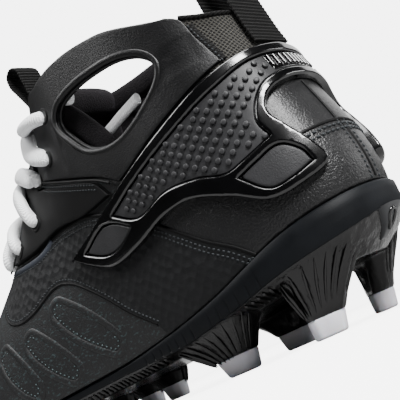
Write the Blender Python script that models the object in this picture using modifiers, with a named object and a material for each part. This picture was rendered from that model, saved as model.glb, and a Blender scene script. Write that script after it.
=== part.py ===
"""Lacrosse cleat for the left foot: lasted upper, moulded plate with studs, heel strap and lace.

Sizes are in millimetres in the last's own frame: x runs from the back of the heel to the toe,
y to the outer side of the foot and z up from the stud tips. The finished meshes are in metres.
"""
import math

import bpy
import bmesh
import numpy as np

MM = 0.001
BOX_MIDDLE = (142.07, -0.10)

# Driving sizes
WALL = 2.4
GAP = 0.4
COLUMNS_PER_STATION = 3
UPPER_ROWS = 8
REFERENCE_HEIGHT = 80.0
THROAT_END = 7.66
SLICE_AROUND = 9.0
SLICE_UP = 14.0
FLAT_ANGLE = 0.001
READINGS = 40

# The last: a row for each section from heel to toe.
# x, outer and inner: outline of the bite line, where the upper meets the sole; bite: its height.
# crest_x, crest_half, crest_z, centre: top of the section; rise, swell: bulge above the bite line;
# shoulder, drop: bulge below the crest; rim: height of the collar; throat: half width of the lacing.
LAST_COLUMNS = ("x", "outer", "inner", "bite", "crest_x", "crest_half", "crest_z", "centre",
                "rise", "swell", "shoulder", "drop", "rim", "throat")
LAST = {
    "heel back":      (0, 0.0, 0.0, 42.0, 18, 0.0, 152, 0.0, 30, 4.0, -6.0, 52, 121.0, 0.0),
    "heel corner":    (7, 18.5, 18.5, 41.0, 23, 17.5, 152, 0.0, 30, 4.0, -5.0, 52, 122.5, 0.0),
    "heel side":      (28, 30.5, 30.0, 37.0, 42, 29.5, 152, 0.0, 30, 4.0, -2.0, 48, 131.5, 0.0),
    "ankle":          (56, 34.5, 33.0, 29.5, 66, 33.5, 152, 0.0, 34, 4.0, 0.0, 42, 141.5, 0.0),
    "front of ankle": (90, 34.5, 30.5, 24.5, 99, 31.0, 152, 0.5, 36, 4.0, 1.5, 38, 147.5, 0.0),
    "arch":           (118, 36.0, 28.0, 22.0, 128, 21.5, 152, 1.0, 36, 4.0, 5.0, 32, 147.5, 22.0),
    "waist":          (142, 39.5, 30.0, 21.0, 147, 0.0, 152, 0.0, 34, 4.0, 23.0, 10, 152.0, 18.5),
    "instep":         (172, 45.5, 38.0, 20.0, 171, 0.0, 118, -1.0, 30, 4.0, 24.0, 0, 152.0, 14.5),
    "ball":           (204, 48.5, 46.0, 20.0, 197, 0.0, 93, -3.0, 24, 4.0, 28.0, 0, 152.0, 0.0),
    "toe joint":      (236, 43.5, 48.5, 21.5, 224, 0.0, 75, -6.0, 20, 3.5, 27.0, 0, 152.0, 0.0),
    "toes":           (266, 25.0, 40.5, 25.0, 248, 0.0, 64, -9.0, 17, 3.0, 20.0, 0, 152.0, 0.0),
    "toe tip":        (286, -11.0, 11.0, 29.0, 262, 0.0, 57, -11.0, 14, 2.0, 14.0, 0, 152.0, 0.0),
}
SMOOTH_COLUMNS = ("x", "side", "bite", "crest_x", "crest_z", "centre")

# The sole below the bite line, at the same sections.
# flare: how far the band stands out; band: height of its lower edge; floor: underside of the
# plate; inset: how far the underside lies inside the outline; dish: depth of the bed.
SOLE_COLUMNS = ("flare", "band", "floor", "inset", "dish")
SOLE = {
    "heel back":      (1.5, 34.0, 20.0, 11.0, 4.0),
    "heel corner":    (1.5, 31.0, 20.0, 11.0, 4.0),
    "heel side":      (1.5, 27.5, 19.5, 10.0, 4.0),
    "ankle":          (1.2, 22.5, 18.0, 9.0, 3.0),
    "front of ankle": (0.6, 19.0, 15.0, 7.0, 1.5),
    "arch":           (-0.2, 19.0, 13.5, 6.0, 0.3),
    "waist":          (-0.6, 18.6, 13.0, 6.0, 0.0),
    "instep":         (-0.8, 17.8, 12.5, 5.0, 0.0),
    "ball":           (-0.8, 17.8, 12.5, 5.0, 0.0),
    "toe joint":      (-0.8, 19.3, 14.0, 5.0, 0.0),
    "toes":           (-0.8, 22.8, 18.0, 5.0, 0.0),
    "toe tip":        (-0.8, 26.8, 22.5, 4.0, 0.0),
}
BED_RIM = 9.0
PLATE_FLARE = 0.6
PLATE_LIP = 0.8
SIDE_HOLLOW = 0.4
INSOLE_THICKNESS = 3.0

# Studs: tip centre, turn of the blade and tip size, then the stretch of outline, as stations, that
# the stud's fin fans out to, and how far the fin reaches in from the outline there.
STUD_COLUMNS = ("x", "y", "turn", "length", "width", "root_first", "root_last", "root_depth")
STUDS = {
    "heel_outer_rear":   (31, 18.7, 45, 12.0, 8.5, 0.40, 2.35, 17),
    "heel_inner_rear":   (31, -18.7, -45, 12.0, 8.5, 21.60, 19.65, 17),
    "heel_outer_front":  (75, 18.7, 4, 14.5, 8.5, 2.85, 4.25, 19),
    "heel_inner_front":  (75, -18.7, -4, 14.5, 8.5, 19.15, 17.75, 19),
    "ball_outer_rear":   (162, 30.0, 10, 12.5, 8.0, 6.35, 7.05, 20),
    "ball_inner_rear":   (162, -23.0, -14, 12.5, 8.0, 15.65, 14.95, 20),
    "ball_outer_mid":    (193, 36.0, 4, 12.5, 8.0, 7.30, 8.00, 20),
    "ball_inner_mid":    (193, -33.0, -12, 12.5, 8.0, 14.70, 14.00, 20),
    "ball_outer_front":  (223, 34.0, -10, 12.5, 8.0, 8.25, 8.95, 20),
    "ball_inner_front":  (223, -37.0, 0, 12.5, 8.0, 13.75, 13.05, 20),
    "toe_outer":         (247, 22.0, -35, 12.0, 8.0, 9.15, 9.80, 18),
    "toe_inner":         (247, -33.0, 14, 12.0, 8.0, 12.85, 12.20, 18),
}
TIP_HEIGHT = 6.5
STUD_SIDES = 10
STUD_SQUARENESS = 4.0
STUD_LEVELS = 3
FIN_HOLLOW = 1.7
FIN_TOP = 1.2
FIN_INSET = 1.8
FIN_DROP = 0.5

# Flat patterns, wrapped round the last: around is the way round from the middle of the heel at
# the reference height, up is the height, and corner marks a point where the edge turns sharply.
STRAP_TOP = (
    (0, 103.8, 0), (18, 102.4, 0), (34, 98.8, 0), (59, 91.3, 0), (89, 83.3, 0), (114, 75.9, 0),
    (134, 70.4, 1),
)
STRAP_BOTTOM = (
    (135, 69.0, 1), (122, 61.3, 0), (112, 57.4, 0), (94, 59.0, 0), (76, 62.8, 0), (62, 62.6, 0),
    (48, 56.0, 0), (37, 48.8, 0), (24, 49.6, 0), (16, 53.0, 0), (16.5, 58.5, 0), (21, 70.0, 0),
    (23, 77.0, 0), (18.5, 83.6, 0), (9, 86.8, 0), (0, 87.3, 0),
)
GRIP_TOP = (
    (0, 99.3, 0), (18, 98.2, 0), (34, 93.8, 0), (59, 86.6, 0), (86, 79.6, 0), (101, 75.0, 1),
)
GRIP_BOTTOM = (
    (88, 68.0, 0), (70, 70.2, 0), (56, 67.8, 0), (46, 63.8, 0), (38, 65.0, 0), (27, 68.2, 1),
    (27.8, 76.0, 0), (20.5, 86.2, 0), (10, 90.4, 0), (0, 91.0, 0),
)
REAR_INLAY = (
    (43, 60.2, 1), (35, 62.6, 0), (26.5, 64.4, 0), (21.5, 60.0, 0), (20, 54.4, 1), (28, 52.2, 0),
    (36, 52.2, 0),
)
FRONT_INLAY = (
    (126, 68.4, 1), (110, 73.6, 0), (102, 72.2, 0), (93, 66.6, 1), (104, 62.6, 0), (114, 62.8, 0),
)
WINDOW = (
    (112, 125, 0), (104, 131, 0), (78, 129.6, 0), (55, 123.4, 0), (48.5, 114, 0), (60, 104, 0),
    (80, 98.8, 0), (98, 103.6, 0), (108, 115, 0),
)
WING_LOWER = (
    (147, 111.5, 1), (127, 104, 0), (113, 97.6, 0), (101, 91.8, 0), (93, 86.4, 1), (89, 84.7, 0),
    (59, 92.7, 0), (34, 100.2, 0), (25, 102.6, 1), (26.5, 109, 0), (28.5, 116, 0),
)
EYESTAY_LOWER = (
    (196, 87.0, 1), (180, 84.5, 0), (162, 83.2, 0), (141, 85.6, 0), (118, 82.4, 0), (97, 82.6, 1),
    (103, 91.6, 0), (113, 96.6, 0), (127, 102.6, 0), (140, 106.8, 0), (149.5, 109.0, 1),
)
STRAP_THICKNESS = 3.0
GRIP_THICKNESS = 1.9
INLAY_THICKNESS = 2.2
OVERLAY_THICKNESS = 1.0
WING_LIFT = 0.6
STAY_LIFT = 1.3
RIM_MARGIN = 0.7
WINDOW_CUT = (-9.0, 6.0)

# Stretches of the rim that the wings and the eyestays run along: first and last station, points.
WING_RIM = (1.5, 5.85, 10)
EYESTAY_RIM = (6.12, 7.6, 6)
OUTLINE_STEPS = 2

# Heel panel: half width, in stations, of the matte spine at its top and its end, and the share
# of the plate's side that it runs down.
PANEL_TOP_HALF = 0.36
PANEL_END_HALF = 0.12
PANEL_END = 0.8
PANEL_ROWS = 5
PANEL_THICKNESS = 1.2

# Lace: a row for each pair of eyelets, the station and height of the eyelet and the station where
# the lace crosses the ridge of the tongue. The grid gives first, last and step for laying it down.
LACE_COLUMNS = ("eyelet", "height", "ridge")
LACE_ROWS = ((4.80, 135, 6.30), (5.25, 118, 6.42), (6.15, 114, 6.66), (6.60, 106, 6.92), (7.02, 98, 7.18),
             (7.40, 91, 7.45))
LACE_DIAMETER = 4.6
LACE_LIFT = 5.1
LACE_POINTS = 4
LACE_STATIONS = (4.4, 7.8, 0.02)
LACE_SHARES = (0.4, 1.0, 0.005)
LACE_END = ((120.7, 22.5, 134.5), (114, 19.5, 128), (106, 18.5, 120), (97, 20.5, 113.5), (88, 24, 110.5),
            (76, 25.5, 111), (64, 26, 112), (52, 25.5, 113.3), (41.1, 24.7, 114.6))

# Webbing loops: rows of how far in front of the heel's curve, and height, for the heel loop, and
# of x and height for the tongue loop.
HEEL_LOOP_HALF = 10.0
HEEL_LOOP = ((-1.3, 106), (-1.3, 112), (-1.4, 120), (-1.0, 130), (0.0, 140), (2.4, 147), (5.8, 149.5),
             (8.8, 147), (10.2, 140), (10.2, 130), (9.4, 120), (9.2, 111))
TONGUE_LOOP_HALF = 6.5
TONGUE_LOOP = ((149.7, 146.1), (147.6, 148.6), (148.6, 153.5), (151.6, 160), (155.8, 168), (159.0, 175),
               (158.6, 179), (154.4, 181.2), (150.2, 179), (148.3, 172), (147.0, 164), (145.6, 157), (144.2, 151.9))
WEBBING = 1.5

TONGUE_THICKNESS = 4.5
TONGUE_TUCK = 12.0
TONGUE_FIRST = 5.0
TONGUE_LAST = 7.7
TONGUE_SINK = 1.8
TONGUE_ROWS = 4
INSIDE = (90.0, 0.0, 60.0)

BLACK = (0.012, 0.012, 0.013, 1.0)
CHARCOAL = (0.035, 0.038, 0.042, 1.0)
SLATE = (0.030, 0.035, 0.045, 1.0)
WHITE = (0.82, 0.82, 0.82, 1.0)
PALE = (0.70, 0.70, 0.74, 1.0)


def clear_scene():
    for item in list(bpy.data.objects):
        bpy.data.objects.remove(item, do_unlink=True)


def named_collection(name):
    group = bpy.data.collections.new(name)
    bpy.context.scene.collection.children.link(group)
    return group


def finish(name, color, roughness):
    material = bpy.data.materials.new(name)
    material.use_nodes = True
    shader = material.node_tree.nodes["Principled BSDF"]
    shader.inputs["Base Color"].default_value = color
    shader.inputs["Roughness"].default_value = roughness
    shader.inputs["Metallic"].default_value = 0.0
    return material


# Curves once round the foot

def around(outer, inner):
    """Station values heel to toe on the outer side, then toe to heel on the inner side."""
    return np.concatenate((outer, inner[-2:0:-1])).astype(float)


def smooth_slopes(values):
    """Slopes of the closed cubic spline through the stations."""
    count = len(values)
    ahead = np.roll(np.eye(count), 1, axis=1)
    spread = 3.0 * (np.roll(values, -1) - np.roll(values, 1))
    return np.linalg.solve(4.0 * np.eye(count) + ahead + ahead.T, spread)


def level_slopes(values):
    """Slopes that never swing past the stations."""
    before = values - np.roll(values, 1)
    after = np.roll(values, -1) - values
    same_way = before * after > 0.0
    total = np.where(same_way, before + after, 1.0)
    return np.where(same_way, 2.0 * before * after / total, 0.0)


def station_curves():
    last = dict(zip(LAST_COLUMNS, np.array(list(LAST.values()), dtype=float).T))
    sole = dict(zip(SOLE_COLUMNS, np.array(list(SOLE.values()), dtype=float).T))
    values = {"side": around(last.pop("outer"), -last.pop("inner"))}
    for name, column in list(last.items()) + list(sole.items()):
        values[name] = around(column, column)
    curves = {}
    for name, column in values.items():
        slopes = smooth_slopes(column) if name in SMOOTH_COLUMNS else level_slopes(column)
        curves[name] = (column, slopes)
    return curves


CURVES = station_curves()
STATIONS = 2 * (len(LAST) - 1)
TOE = STATIONS // 2


def read(name, t):
    """Value of a column at station t, counted once round the foot from the heel."""
    values, slopes = CURVES[name]
    t = np.asarray(t, dtype=float) % STATIONS
    first = np.floor(t).astype(int) % STATIONS
    then = (first + 1) % STATIONS
    u = t - np.floor(t)
    start = (2 * u ** 3 - 3 * u ** 2 + 1) * values[first] + (u ** 3 - 2 * u ** 2 + u) * slopes[first]
    end = (3 * u ** 2 - 2 * u ** 3) * values[then] + (u ** 3 - u ** 2) * slopes[then]
    return start + end


def outwards(t):
    """Unit direction out of the outline, level with the floor."""
    step = 0.01
    along_x = read("x", t + step) - read("x", t - step)
    along_y = read("side", t + step) - read("side", t - step)
    size = np.hypot(along_x, along_y)
    return np.stack((-along_y / size, along_x / size, np.zeros_like(size)), axis=-1)


def outline(t, outset, height):
    """Point of the sole's outline, moved out by outset, at a height."""
    t = np.asarray(t, dtype=float)
    flat = np.stack((read("x", t), read("side", t), np.zeros_like(t)), axis=-1)
    up = np.stack((np.zeros_like(t), np.zeros_like(t), np.broadcast_to(height, t.shape)), axis=-1)
    return flat + outwards(t) * np.broadcast_to(outset, t.shape)[..., None] + up


def last_point(t, v):
    """Point of the last: v runs from the bite line to the crest of the section."""
    t, v = np.broadcast_arrays(np.asarray(t, dtype=float), np.asarray(v, dtype=float))
    half = np.where(t % STATIONS < TOE, 1.0, -1.0) * read("crest_half", t)
    up = np.array((0.0, 0.0, 1.0))
    out = outwards(t)
    foot = outline(t, 0.0, read("bite", t))
    crest = np.stack((read("crest_x", t), read("centre", t) + half, read("crest_z", t)), axis=-1)
    low = foot + up * read("rise", t)[..., None] + out * read("swell", t)[..., None]
    high = crest + out * read("shoulder", t)[..., None] - up * read("drop", t)[..., None]
    v = v[..., None]
    w = 1.0 - v
    return w ** 3 * foot + 3 * w * w * v * low + 3 * w * v * v * high + v ** 3 * crest


def skin(t, v, lift):
    """Point of the last, lifted along its normal."""
    step = 0.004
    t, v = np.broadcast_arrays(np.asarray(t, dtype=float), np.asarray(v, dtype=float))
    v_in = np.clip(v, step, 1.0 - step)
    up = last_point(t, v_in + step) - last_point(t, v_in - step)
    along = last_point(t + step, v_in) - last_point(t - step, v_in)
    normal = np.cross(up, along)
    normal /= np.linalg.norm(normal, axis=-1, keepdims=True)
    return last_point(t, v) + normal * np.broadcast_to(lift, t.shape)[..., None]


HEIGHT_STEPS = np.linspace(0.0, 1.0, 4 * READINGS + 1)


def at_height(t, height):
    """Share of the section, v, where it reaches a height."""
    t = np.atleast_1d(np.asarray(t, dtype=float))
    height = np.broadcast_to(height, t.shape)
    column = last_point(t[:, None], HEIGHT_STEPS[None, :])[..., 2]
    return np.array([np.interp(goal, rows, HEIGHT_STEPS) for goal, rows in zip(height, column)])


def way_round():
    """Lengths round the last at the reference height, with the station at each."""
    stations = np.linspace(-TOE, TOE, READINGS * STATIONS + 1)
    ring = last_point(stations, at_height(stations, REFERENCE_HEIGHT))
    steps = np.linalg.norm(np.diff(ring, axis=0), axis=1)
    lengths = np.concatenate(((0.0,), np.cumsum(steps)))
    return lengths - np.interp(0.0, stations, lengths), stations


AROUND, AROUND_STATION = way_round()


def rim_share(t):
    """Share of the section where the upper ends: at the collar, the throat or, closed, the crest."""
    t = np.atleast_1d(np.asarray(t, dtype=float))
    from_heel = np.minimum(t % STATIONS, STATIONS - t % STATIONS)
    instep = list(LAST).index("instep")
    past = np.clip((from_heel - instep) / (THROAT_END - instep), 0.0, 1.0)
    half = np.where(from_heel < instep, read("throat", t), LAST["instep"][-1] * np.sqrt(1.0 - past ** 2))
    points = last_point(t[:, None], HEIGHT_STEPS[None, :])
    aside = np.abs(points[..., 1] - read("centre", t)[:, None])
    spare = np.minimum(aside - half[:, None], (read("rim", t)[:, None] - points[..., 2]))
    spare[:, 0] = np.maximum(spare[:, 0], 1e-6)
    shares = []
    for row in spare:
        ended = np.nonzero(row < 0.0)[0]
        if len(ended) == 0:
            shares.append(1.0)
            continue
        k = ended[0]
        part = row[k - 1] / (row[k - 1] - row[k])
        shares.append(HEIGHT_STEPS[k - 1] + part * (HEIGHT_STEPS[k] - HEIGHT_STEPS[k - 1]))
    return np.array(shares)


# Meshes from points in millimetres

def to_object(name, form, group, material):
    """Finished object from a bmesh in millimetres of the last's frame."""
    for vert in form.verts:
        x, y, z = vert.co
        vert.co = ((x - BOX_MIDDLE[0]) * MM, (y - BOX_MIDDLE[1]) * MM, z * MM)
    mesh = bpy.data.meshes.new(name)
    form.to_mesh(mesh)
    form.free()
    piece = bpy.data.objects.new(name, mesh)
    group.objects.link(piece)
    if material is not None:
        mesh.materials.append(material)
    return piece


def add_strips(form, rows, closed):
    """Quads between neighbouring rows of vertices."""
    for one, two in zip(rows, rows[1:]):
        count = len(one)
        last = count if closed else count - 1
        for i in range(last):
            j = (i + 1) % count
            form.faces.new((one[i], one[j], two[j], two[i]))


def add_points(form, points):
    return [form.verts.new(point) for point in points]


def add_ladder(form, row):
    """Cap of a ring that is paired across the foot, heel first and toe half way."""
    count = len(row)
    half = count // 2
    form.faces.new((row[0], row[1], row[count - 1]))
    for i in range(1, half - 1):
        form.faces.new((row[i], row[i + 1], row[count - i - 1], row[count - i]))
    form.faces.new((row[half - 1], row[half], row[half + 1]))


def turned_out(form):
    """Closed form with its faces pointing out."""
    bmesh.ops.recalc_face_normals(form, faces=form.faces)
    if form.calc_volume(signed=True) < 0.0:
        bmesh.ops.reverse_faces(form, faces=form.faces)
    return form


def ring_solid(rings):
    """Closed solid through rings, from its top cap to its bottom cap."""
    form = bmesh.new()
    rows = [add_points(form, ring) for ring in rings]
    add_strips(form, rows, closed=True)
    add_ladder(form, rows[0])
    add_ladder(form, rows[-1])
    return turned_out(form)


def thicken(piece, thickness, side):
    wall = piece.modifiers.new("Wall", "SOLIDIFY")
    wall.thickness = thickness * MM
    wall.offset = side
    wall.use_even_offset = True
    return wall


def combine(piece, tool, operation):
    """Cuts a tool out of a piece, or joins it on, and hides the tool."""
    tool.hide_render = True
    tool.display_type = "WIRE"
    step = piece.modifiers.new(tool.name, "BOOLEAN")
    step.operation = operation
    step.object = tool


def face_outwards(form, inside):
    """Turns an open sheet so that its first face looks away from a point inside the shoe."""
    form.faces.ensure_lookup_table()
    form.normal_update()
    face = form.faces[0]
    away = np.array(face.calc_center_median()) - np.array(inside)
    if np.dot(np.array(face.normal), away) < 0.0:
        bmesh.ops.reverse_faces(form, faces=form.faces)


# Flat patterns

def pattern_curve(points):
    """Closed edge through pattern points, smooth but at the corners."""
    points = [tuple(map(float, point)) for point in points]
    count = len(points)
    flat = np.array([point[:2] for point in points])
    edge = []
    for i in range(count):
        here, there = flat[i], flat[(i + 1) % count]
        chord = there - here
        reach = np.linalg.norm(chord)
        leave = chord if points[i][2] else there - flat[i - 1]
        arrive = chord if points[(i + 1) % count][2] else flat[(i + 2) % count] - here
        leave = leave / np.linalg.norm(leave) * reach
        arrive = arrive / np.linalg.norm(arrive) * reach
        for u in np.arange(OUTLINE_STEPS) / OUTLINE_STEPS:
            edge.append((2 * u ** 3 - 3 * u ** 2 + 1) * here + (u ** 3 - 2 * u ** 2 + u) * leave
                        + (3 * u ** 2 - 2 * u ** 3) * there + (u ** 3 - u ** 2) * arrive)
    return np.array(edge)


def shrink(edge, margin):
    """Edge moved inwards by a margin."""
    ahead = np.roll(edge, -1, axis=0) - edge
    ahead /= np.linalg.norm(ahead, axis=1, keepdims=True)
    mean = ahead + np.roll(ahead, 1, axis=0)
    mean /= np.linalg.norm(mean, axis=1, keepdims=True)
    area = np.sum(edge[:, 0] * np.roll(edge[:, 1], -1) - np.roll(edge[:, 0], -1) * edge[:, 1])
    inwards = np.stack((-mean[:, 1], mean[:, 0]), axis=1) * np.sign(area)
    return edge + inwards * margin


def inner_side(lengths):
    """Way round to the same station on the inner side of the foot."""
    stations = np.interp(lengths, AROUND, AROUND_STATION)
    return np.interp(-stations, AROUND_STATION, AROUND)


def mirror_edge(edge):
    return np.stack((inner_side(edge[:, 0]), edge[:, 1]), axis=1)[::-1]


def flat_slab(edges):
    """Slab of unit thickness cut to an outer edge and its holes, as a bmesh."""
    curve = bpy.data.curves.new("Pattern", "CURVE")
    curve.dimensions = "2D"
    curve.fill_mode = "BOTH"
    curve.extrude = 0.5
    for edge in edges:
        spline = curve.splines.new("POLY")
        spline.points.add(len(edge) - 1)
        for point, (a, up) in zip(spline.points, edge):
            point.co = (a, up, 0.0, 1.0)
        spline.use_cyclic_u = True
    flat = bpy.data.objects.new("Pattern", curve)
    bpy.context.scene.collection.objects.link(flat)
    bpy.context.view_layer.update()
    ready = flat.evaluated_get(bpy.context.evaluated_depsgraph_get())
    mesh = bpy.data.meshes.new_from_object(ready)
    form = bmesh.new()
    form.from_mesh(mesh)
    bmesh.ops.remove_doubles(form, verts=form.verts, dist=0.0001)
    bpy.data.objects.remove(flat, do_unlink=True)
    bpy.data.curves.remove(curve)
    bpy.data.meshes.remove(mesh)
    return form


def wrapped(edges, low, high):
    """Slab cut to a pattern and bent round the last, between two lifts above it."""
    form = flat_slab(edges)
    bmesh.ops.dissolve_limit(form, angle_limit=FLAT_ANGLE, verts=form.verts, edges=form.edges)
    for axis, pitch in ((0, SLICE_AROUND), (1, SLICE_UP)):
        places = [vert.co[axis] for vert in form.verts]
        normal = [float(axis == k) for k in range(3)]
        for step in range(math.ceil(min(places) / pitch), math.floor(max(places) / pitch) + 1):
            everything = form.verts[:] + form.edges[:] + form.faces[:]
            place = [step * pitch * share for share in normal]
            bmesh.ops.bisect_plane(form, geom=everything, dist=0.0001, plane_co=place, plane_no=normal)
    flat = np.array([vert.co[:] for vert in form.verts])
    stations = np.interp(flat[:, 0], AROUND, AROUND_STATION)
    lift = low + (flat[:, 2] + 0.5) * (high - low)
    bent = skin(stations, at_height(stations, flat[:, 1]), lift)
    for vert, place in zip(form.verts, bent):
        vert.co = place
    return turned_out(form)


# Pieces

def ring_stations():
    return np.arange(STATIONS * COLUMNS_PER_STATION) / COLUMNS_PER_STATION


def upper(group, cutters, material):
    """Hollow wall over the last, open at collar, throat, ankle windows and underneath."""
    stations = ring_stations()
    top = rim_share(stations)
    form = bmesh.new()
    rows = []
    for k in range(UPPER_ROWS + 1):
        rows.append(add_points(form, last_point(stations, top * k / UPPER_ROWS)))
    add_strips(form, rows, closed=True)
    bmesh.ops.remove_doubles(form, verts=rows[-1], dist=0.01)
    face_outwards(form, INSIDE)
    piece = to_object("upper", form, group, material)
    thicken(piece, WALL, -1.0)
    for side, edge in sides(pattern_curve(WINDOW)):
        cutter = to_object(f"window_cutter_{side}", wrapped([edge], *WINDOW_CUT), cutters, None)
        combine(piece, cutter, "DIFFERENCE")


def sides(edge):
    return (("outer", edge), ("inner", mirror_edge(edge)))


def rim_edge(first, last, count, inner):
    """Pattern points along the upper's rim between two stations, all counted on the outer side."""
    stations = np.linspace(first, last, count)
    side = -stations if inner else stations
    heights = last_point(side, rim_share(side))[:, 2]
    lengths = np.interp(stations, AROUND_STATION, AROUND)
    return [(a, up, 0) for a, up in zip(lengths, heights)]


def collar_overlays(group, material):
    """Wings with their windows, and the eyestays in front of them, on both sides."""
    for inner, side in enumerate(("outer", "inner")):
        wing = shrink(pattern_curve(rim_edge(*WING_RIM, inner) + list(WING_LOWER)), RIM_MARGIN)
        stay = shrink(pattern_curve(rim_edge(*EYESTAY_RIM, inner) + list(EYESTAY_LOWER)), RIM_MARGIN)
        edges = [wing, pattern_curve(WINDOW), stay]
        if inner:
            edges = [mirror_edge(edge) for edge in edges]
        wing = wrapped(edges[:2], WING_LIFT, WING_LIFT + OVERLAY_THICKNESS)
        to_object(f"wing_{side}", wing, group, material)
        stay = wrapped(edges[2:], STAY_LIFT, STAY_LIFT + OVERLAY_THICKNESS)
        to_object(f"eyestay_{side}", stay, group, material)


def heel_cage(group, gloss, matte):
    """Strap round the heel, its grip panel and its four inlays."""
    strap = pattern_curve(closed_arms(STRAP_TOP, STRAP_BOTTOM))
    grip = pattern_curve(closed_arms(GRIP_TOP, GRIP_BOTTOM))
    inlays = {}
    for place, rows in (("rear", REAR_INLAY), ("front", FRONT_INLAY)):
        for side, edge in sides(pattern_curve(rows)):
            inlays[f"inlay_{place}_{side}"] = edge
    holes = [grip] + list(inlays.values())
    to_object("heel_strap", wrapped([strap] + holes, GAP, GAP + STRAP_THICKNESS), group, gloss)
    to_object("heel_grip", wrapped([shrink(grip, GAP)], GAP, GAP + GRIP_THICKNESS), group, matte)
    for name, edge in inlays.items():
        to_object(name, wrapped([shrink(edge, GAP)], GAP, GAP + INLAY_THICKNESS), group, matte)


def closed_arms(top, bottom):
    """Whole edge of a piece that crosses the heel: inner arm, top, outer arm and underside."""
    def mirrored(rows):
        return [(inner_side(a), up, corner) for a, up, corner in reversed(rows) if a != 0]
    return mirrored(top) + list(top) + list(bottom) + mirrored(bottom)


def sole_layers(group, foam, cloth):
    """Midsole with its band and dished bed, and the insole on it."""
    stations = ring_stations()
    bite = read("bite", stations)
    dish = read("dish", stations)
    flare = read("flare", stations)
    band = read("band", stations)
    bed = bite - GAP - dish
    midsole = ring_solid((
        outline(stations, -BED_RIM, bed),
        outline(stations, -WALL - GAP, bite - GAP),
        outline(stations, flare, bite - GAP),
        outline(stations, flare, band),
    ))
    to_object("midsole", midsole, group, foam)
    insole = ring_solid((
        outline(stations, -BED_RIM, bed + GAP + INSOLE_THICKNESS),
        outline(stations, -WALL - 2 * GAP, bite + INSOLE_THICKNESS),
        outline(stations, -WALL - 2 * GAP, bite),
        outline(stations, -BED_RIM, bed + GAP),
    ))
    to_object("insole", insole, group, cloth)


def stud_ring(row, share):
    """Rounded section of a stud: share runs from the floor to the fin's top under the band."""
    stud = dict(zip(STUD_COLUMNS, row))
    angle = 2.0 * math.pi * (np.arange(STUD_SIDES) + 0.5) / STUD_SIDES
    square = np.abs(np.cos(angle)) ** STUD_SQUARENESS + np.abs(np.sin(angle)) ** STUD_SQUARENESS
    along = np.cos(angle) * square ** (-1.0 / STUD_SQUARENESS)
    aside = np.sin(angle) * square ** (-1.0 / STUD_SQUARENESS) * math.copysign(1.0, stud["y"])
    turn = math.radians(stud["turn"])
    length = 0.5 * stud["length"] * along
    width = 0.5 * stud["width"] * aside
    tip = np.stack((stud["x"] + length * math.cos(turn) - width * math.sin(turn),
                    stud["y"] + length * math.sin(turn) + width * math.cos(turn),
                    np.zeros(STUD_SIDES)), axis=1)
    middle = 0.5 * (stud["root_first"] + stud["root_last"])
    station = middle + 0.5 * (stud["root_last"] - stud["root_first"]) * along
    inwards = 0.5 * (1.0 - aside * math.copysign(1.0, stud["y"]))
    band = read("band", station) - GAP
    top = band - FIN_TOP - FIN_DROP * (band - read("floor", station)) * inwards
    root = outline(station, plate_flare(station) - FIN_INSET - stud["root_depth"] * inwards, top)
    ring = tip + (root - tip) * share ** FIN_HOLLOW
    level = root[:, 2].mean()
    bend = max(0.0, share - TIP_HEIGHT / level) / (1.0 - TIP_HEIGHT / level)
    ring[:, 2] = share * (level + (root[:, 2] - level) * bend)
    return ring


def tip_share(row):
    """Share of a stud's height where its tip ends."""
    return TIP_HEIGHT / float(stud_ring(row, 1.0)[:, 2].mean())


def stud_form(form, row, low, high, levels):
    """Adds a closed stretch of a stud between two shares of its height."""
    rows = []
    for k in range(levels + 1):
        rows.append(add_points(form, stud_ring(row, low + (high - low) * k / levels)))
    add_strips(form, rows, closed=True)
    form.faces.new(rows[0])
    form.faces.new(rows[-1])


def plate_flare(stations):
    return np.minimum(read("flare", stations), PLATE_FLARE)


def plate_rings(stations):
    """Rings of the plate's side, from the band down to the underside."""
    band = read("band", stations) - GAP
    floor = read("floor", stations)
    inset = read("inset", stations)
    flare = plate_flare(stations)
    return (outline(stations, read("flare", stations), band),
            outline(stations, flare, band - PLATE_LIP),
            outline(stations, flare - SIDE_HOLLOW * inset, 0.5 * (band + floor)),
            outline(stations, -inset, floor))


def outsole(group, cutters, gloss, pale):
    """Plate with its stud bodies, and the pale stud tips."""
    piece = to_object("outsole", ring_solid(plate_rings(ring_stations())), group, gloss)
    studs = bmesh.new()
    for row in STUDS.values():
        stud_form(studs, row, tip_share(row) * (1.0 + GAP / TIP_HEIGHT), 1.0, STUD_LEVELS)
    joined = to_object("stud_bodies", turned_out(studs), cutters, gloss)
    combine(piece, joined, "UNION")
    for name, row in STUDS.items():
        tip = bmesh.new()
        stud_form(tip, row, 0.0, tip_share(row), 1)
        to_object(f"tip_{name}", turned_out(tip), group, pale)


def heel_panel(group, material):
    """Matte spine that runs from the band down the back of the plate."""
    form = bmesh.new()
    rows = []
    for share in np.linspace(0.0, PANEL_END, PANEL_ROWS):
        half = PANEL_TOP_HALF + (PANEL_END_HALF - PANEL_TOP_HALF) * share / PANEL_END
        stations = np.linspace(-half, half, PANEL_ROWS)
        _, top, middle, low = plate_rings(stations)
        if share < 0.5:
            points = top + (middle - top) * 2.0 * share
        else:
            points = middle + (low - middle) * (2.0 * share - 1.0)
        points = points + outwards(stations) * GAP
        rows.append(add_points(form, points))
    add_strips(form, rows, closed=False)
    face_outwards(form, INSIDE)
    thicken(to_object("heel_panel", form, group, material), PANEL_THICKNESS, 1.0)


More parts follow.
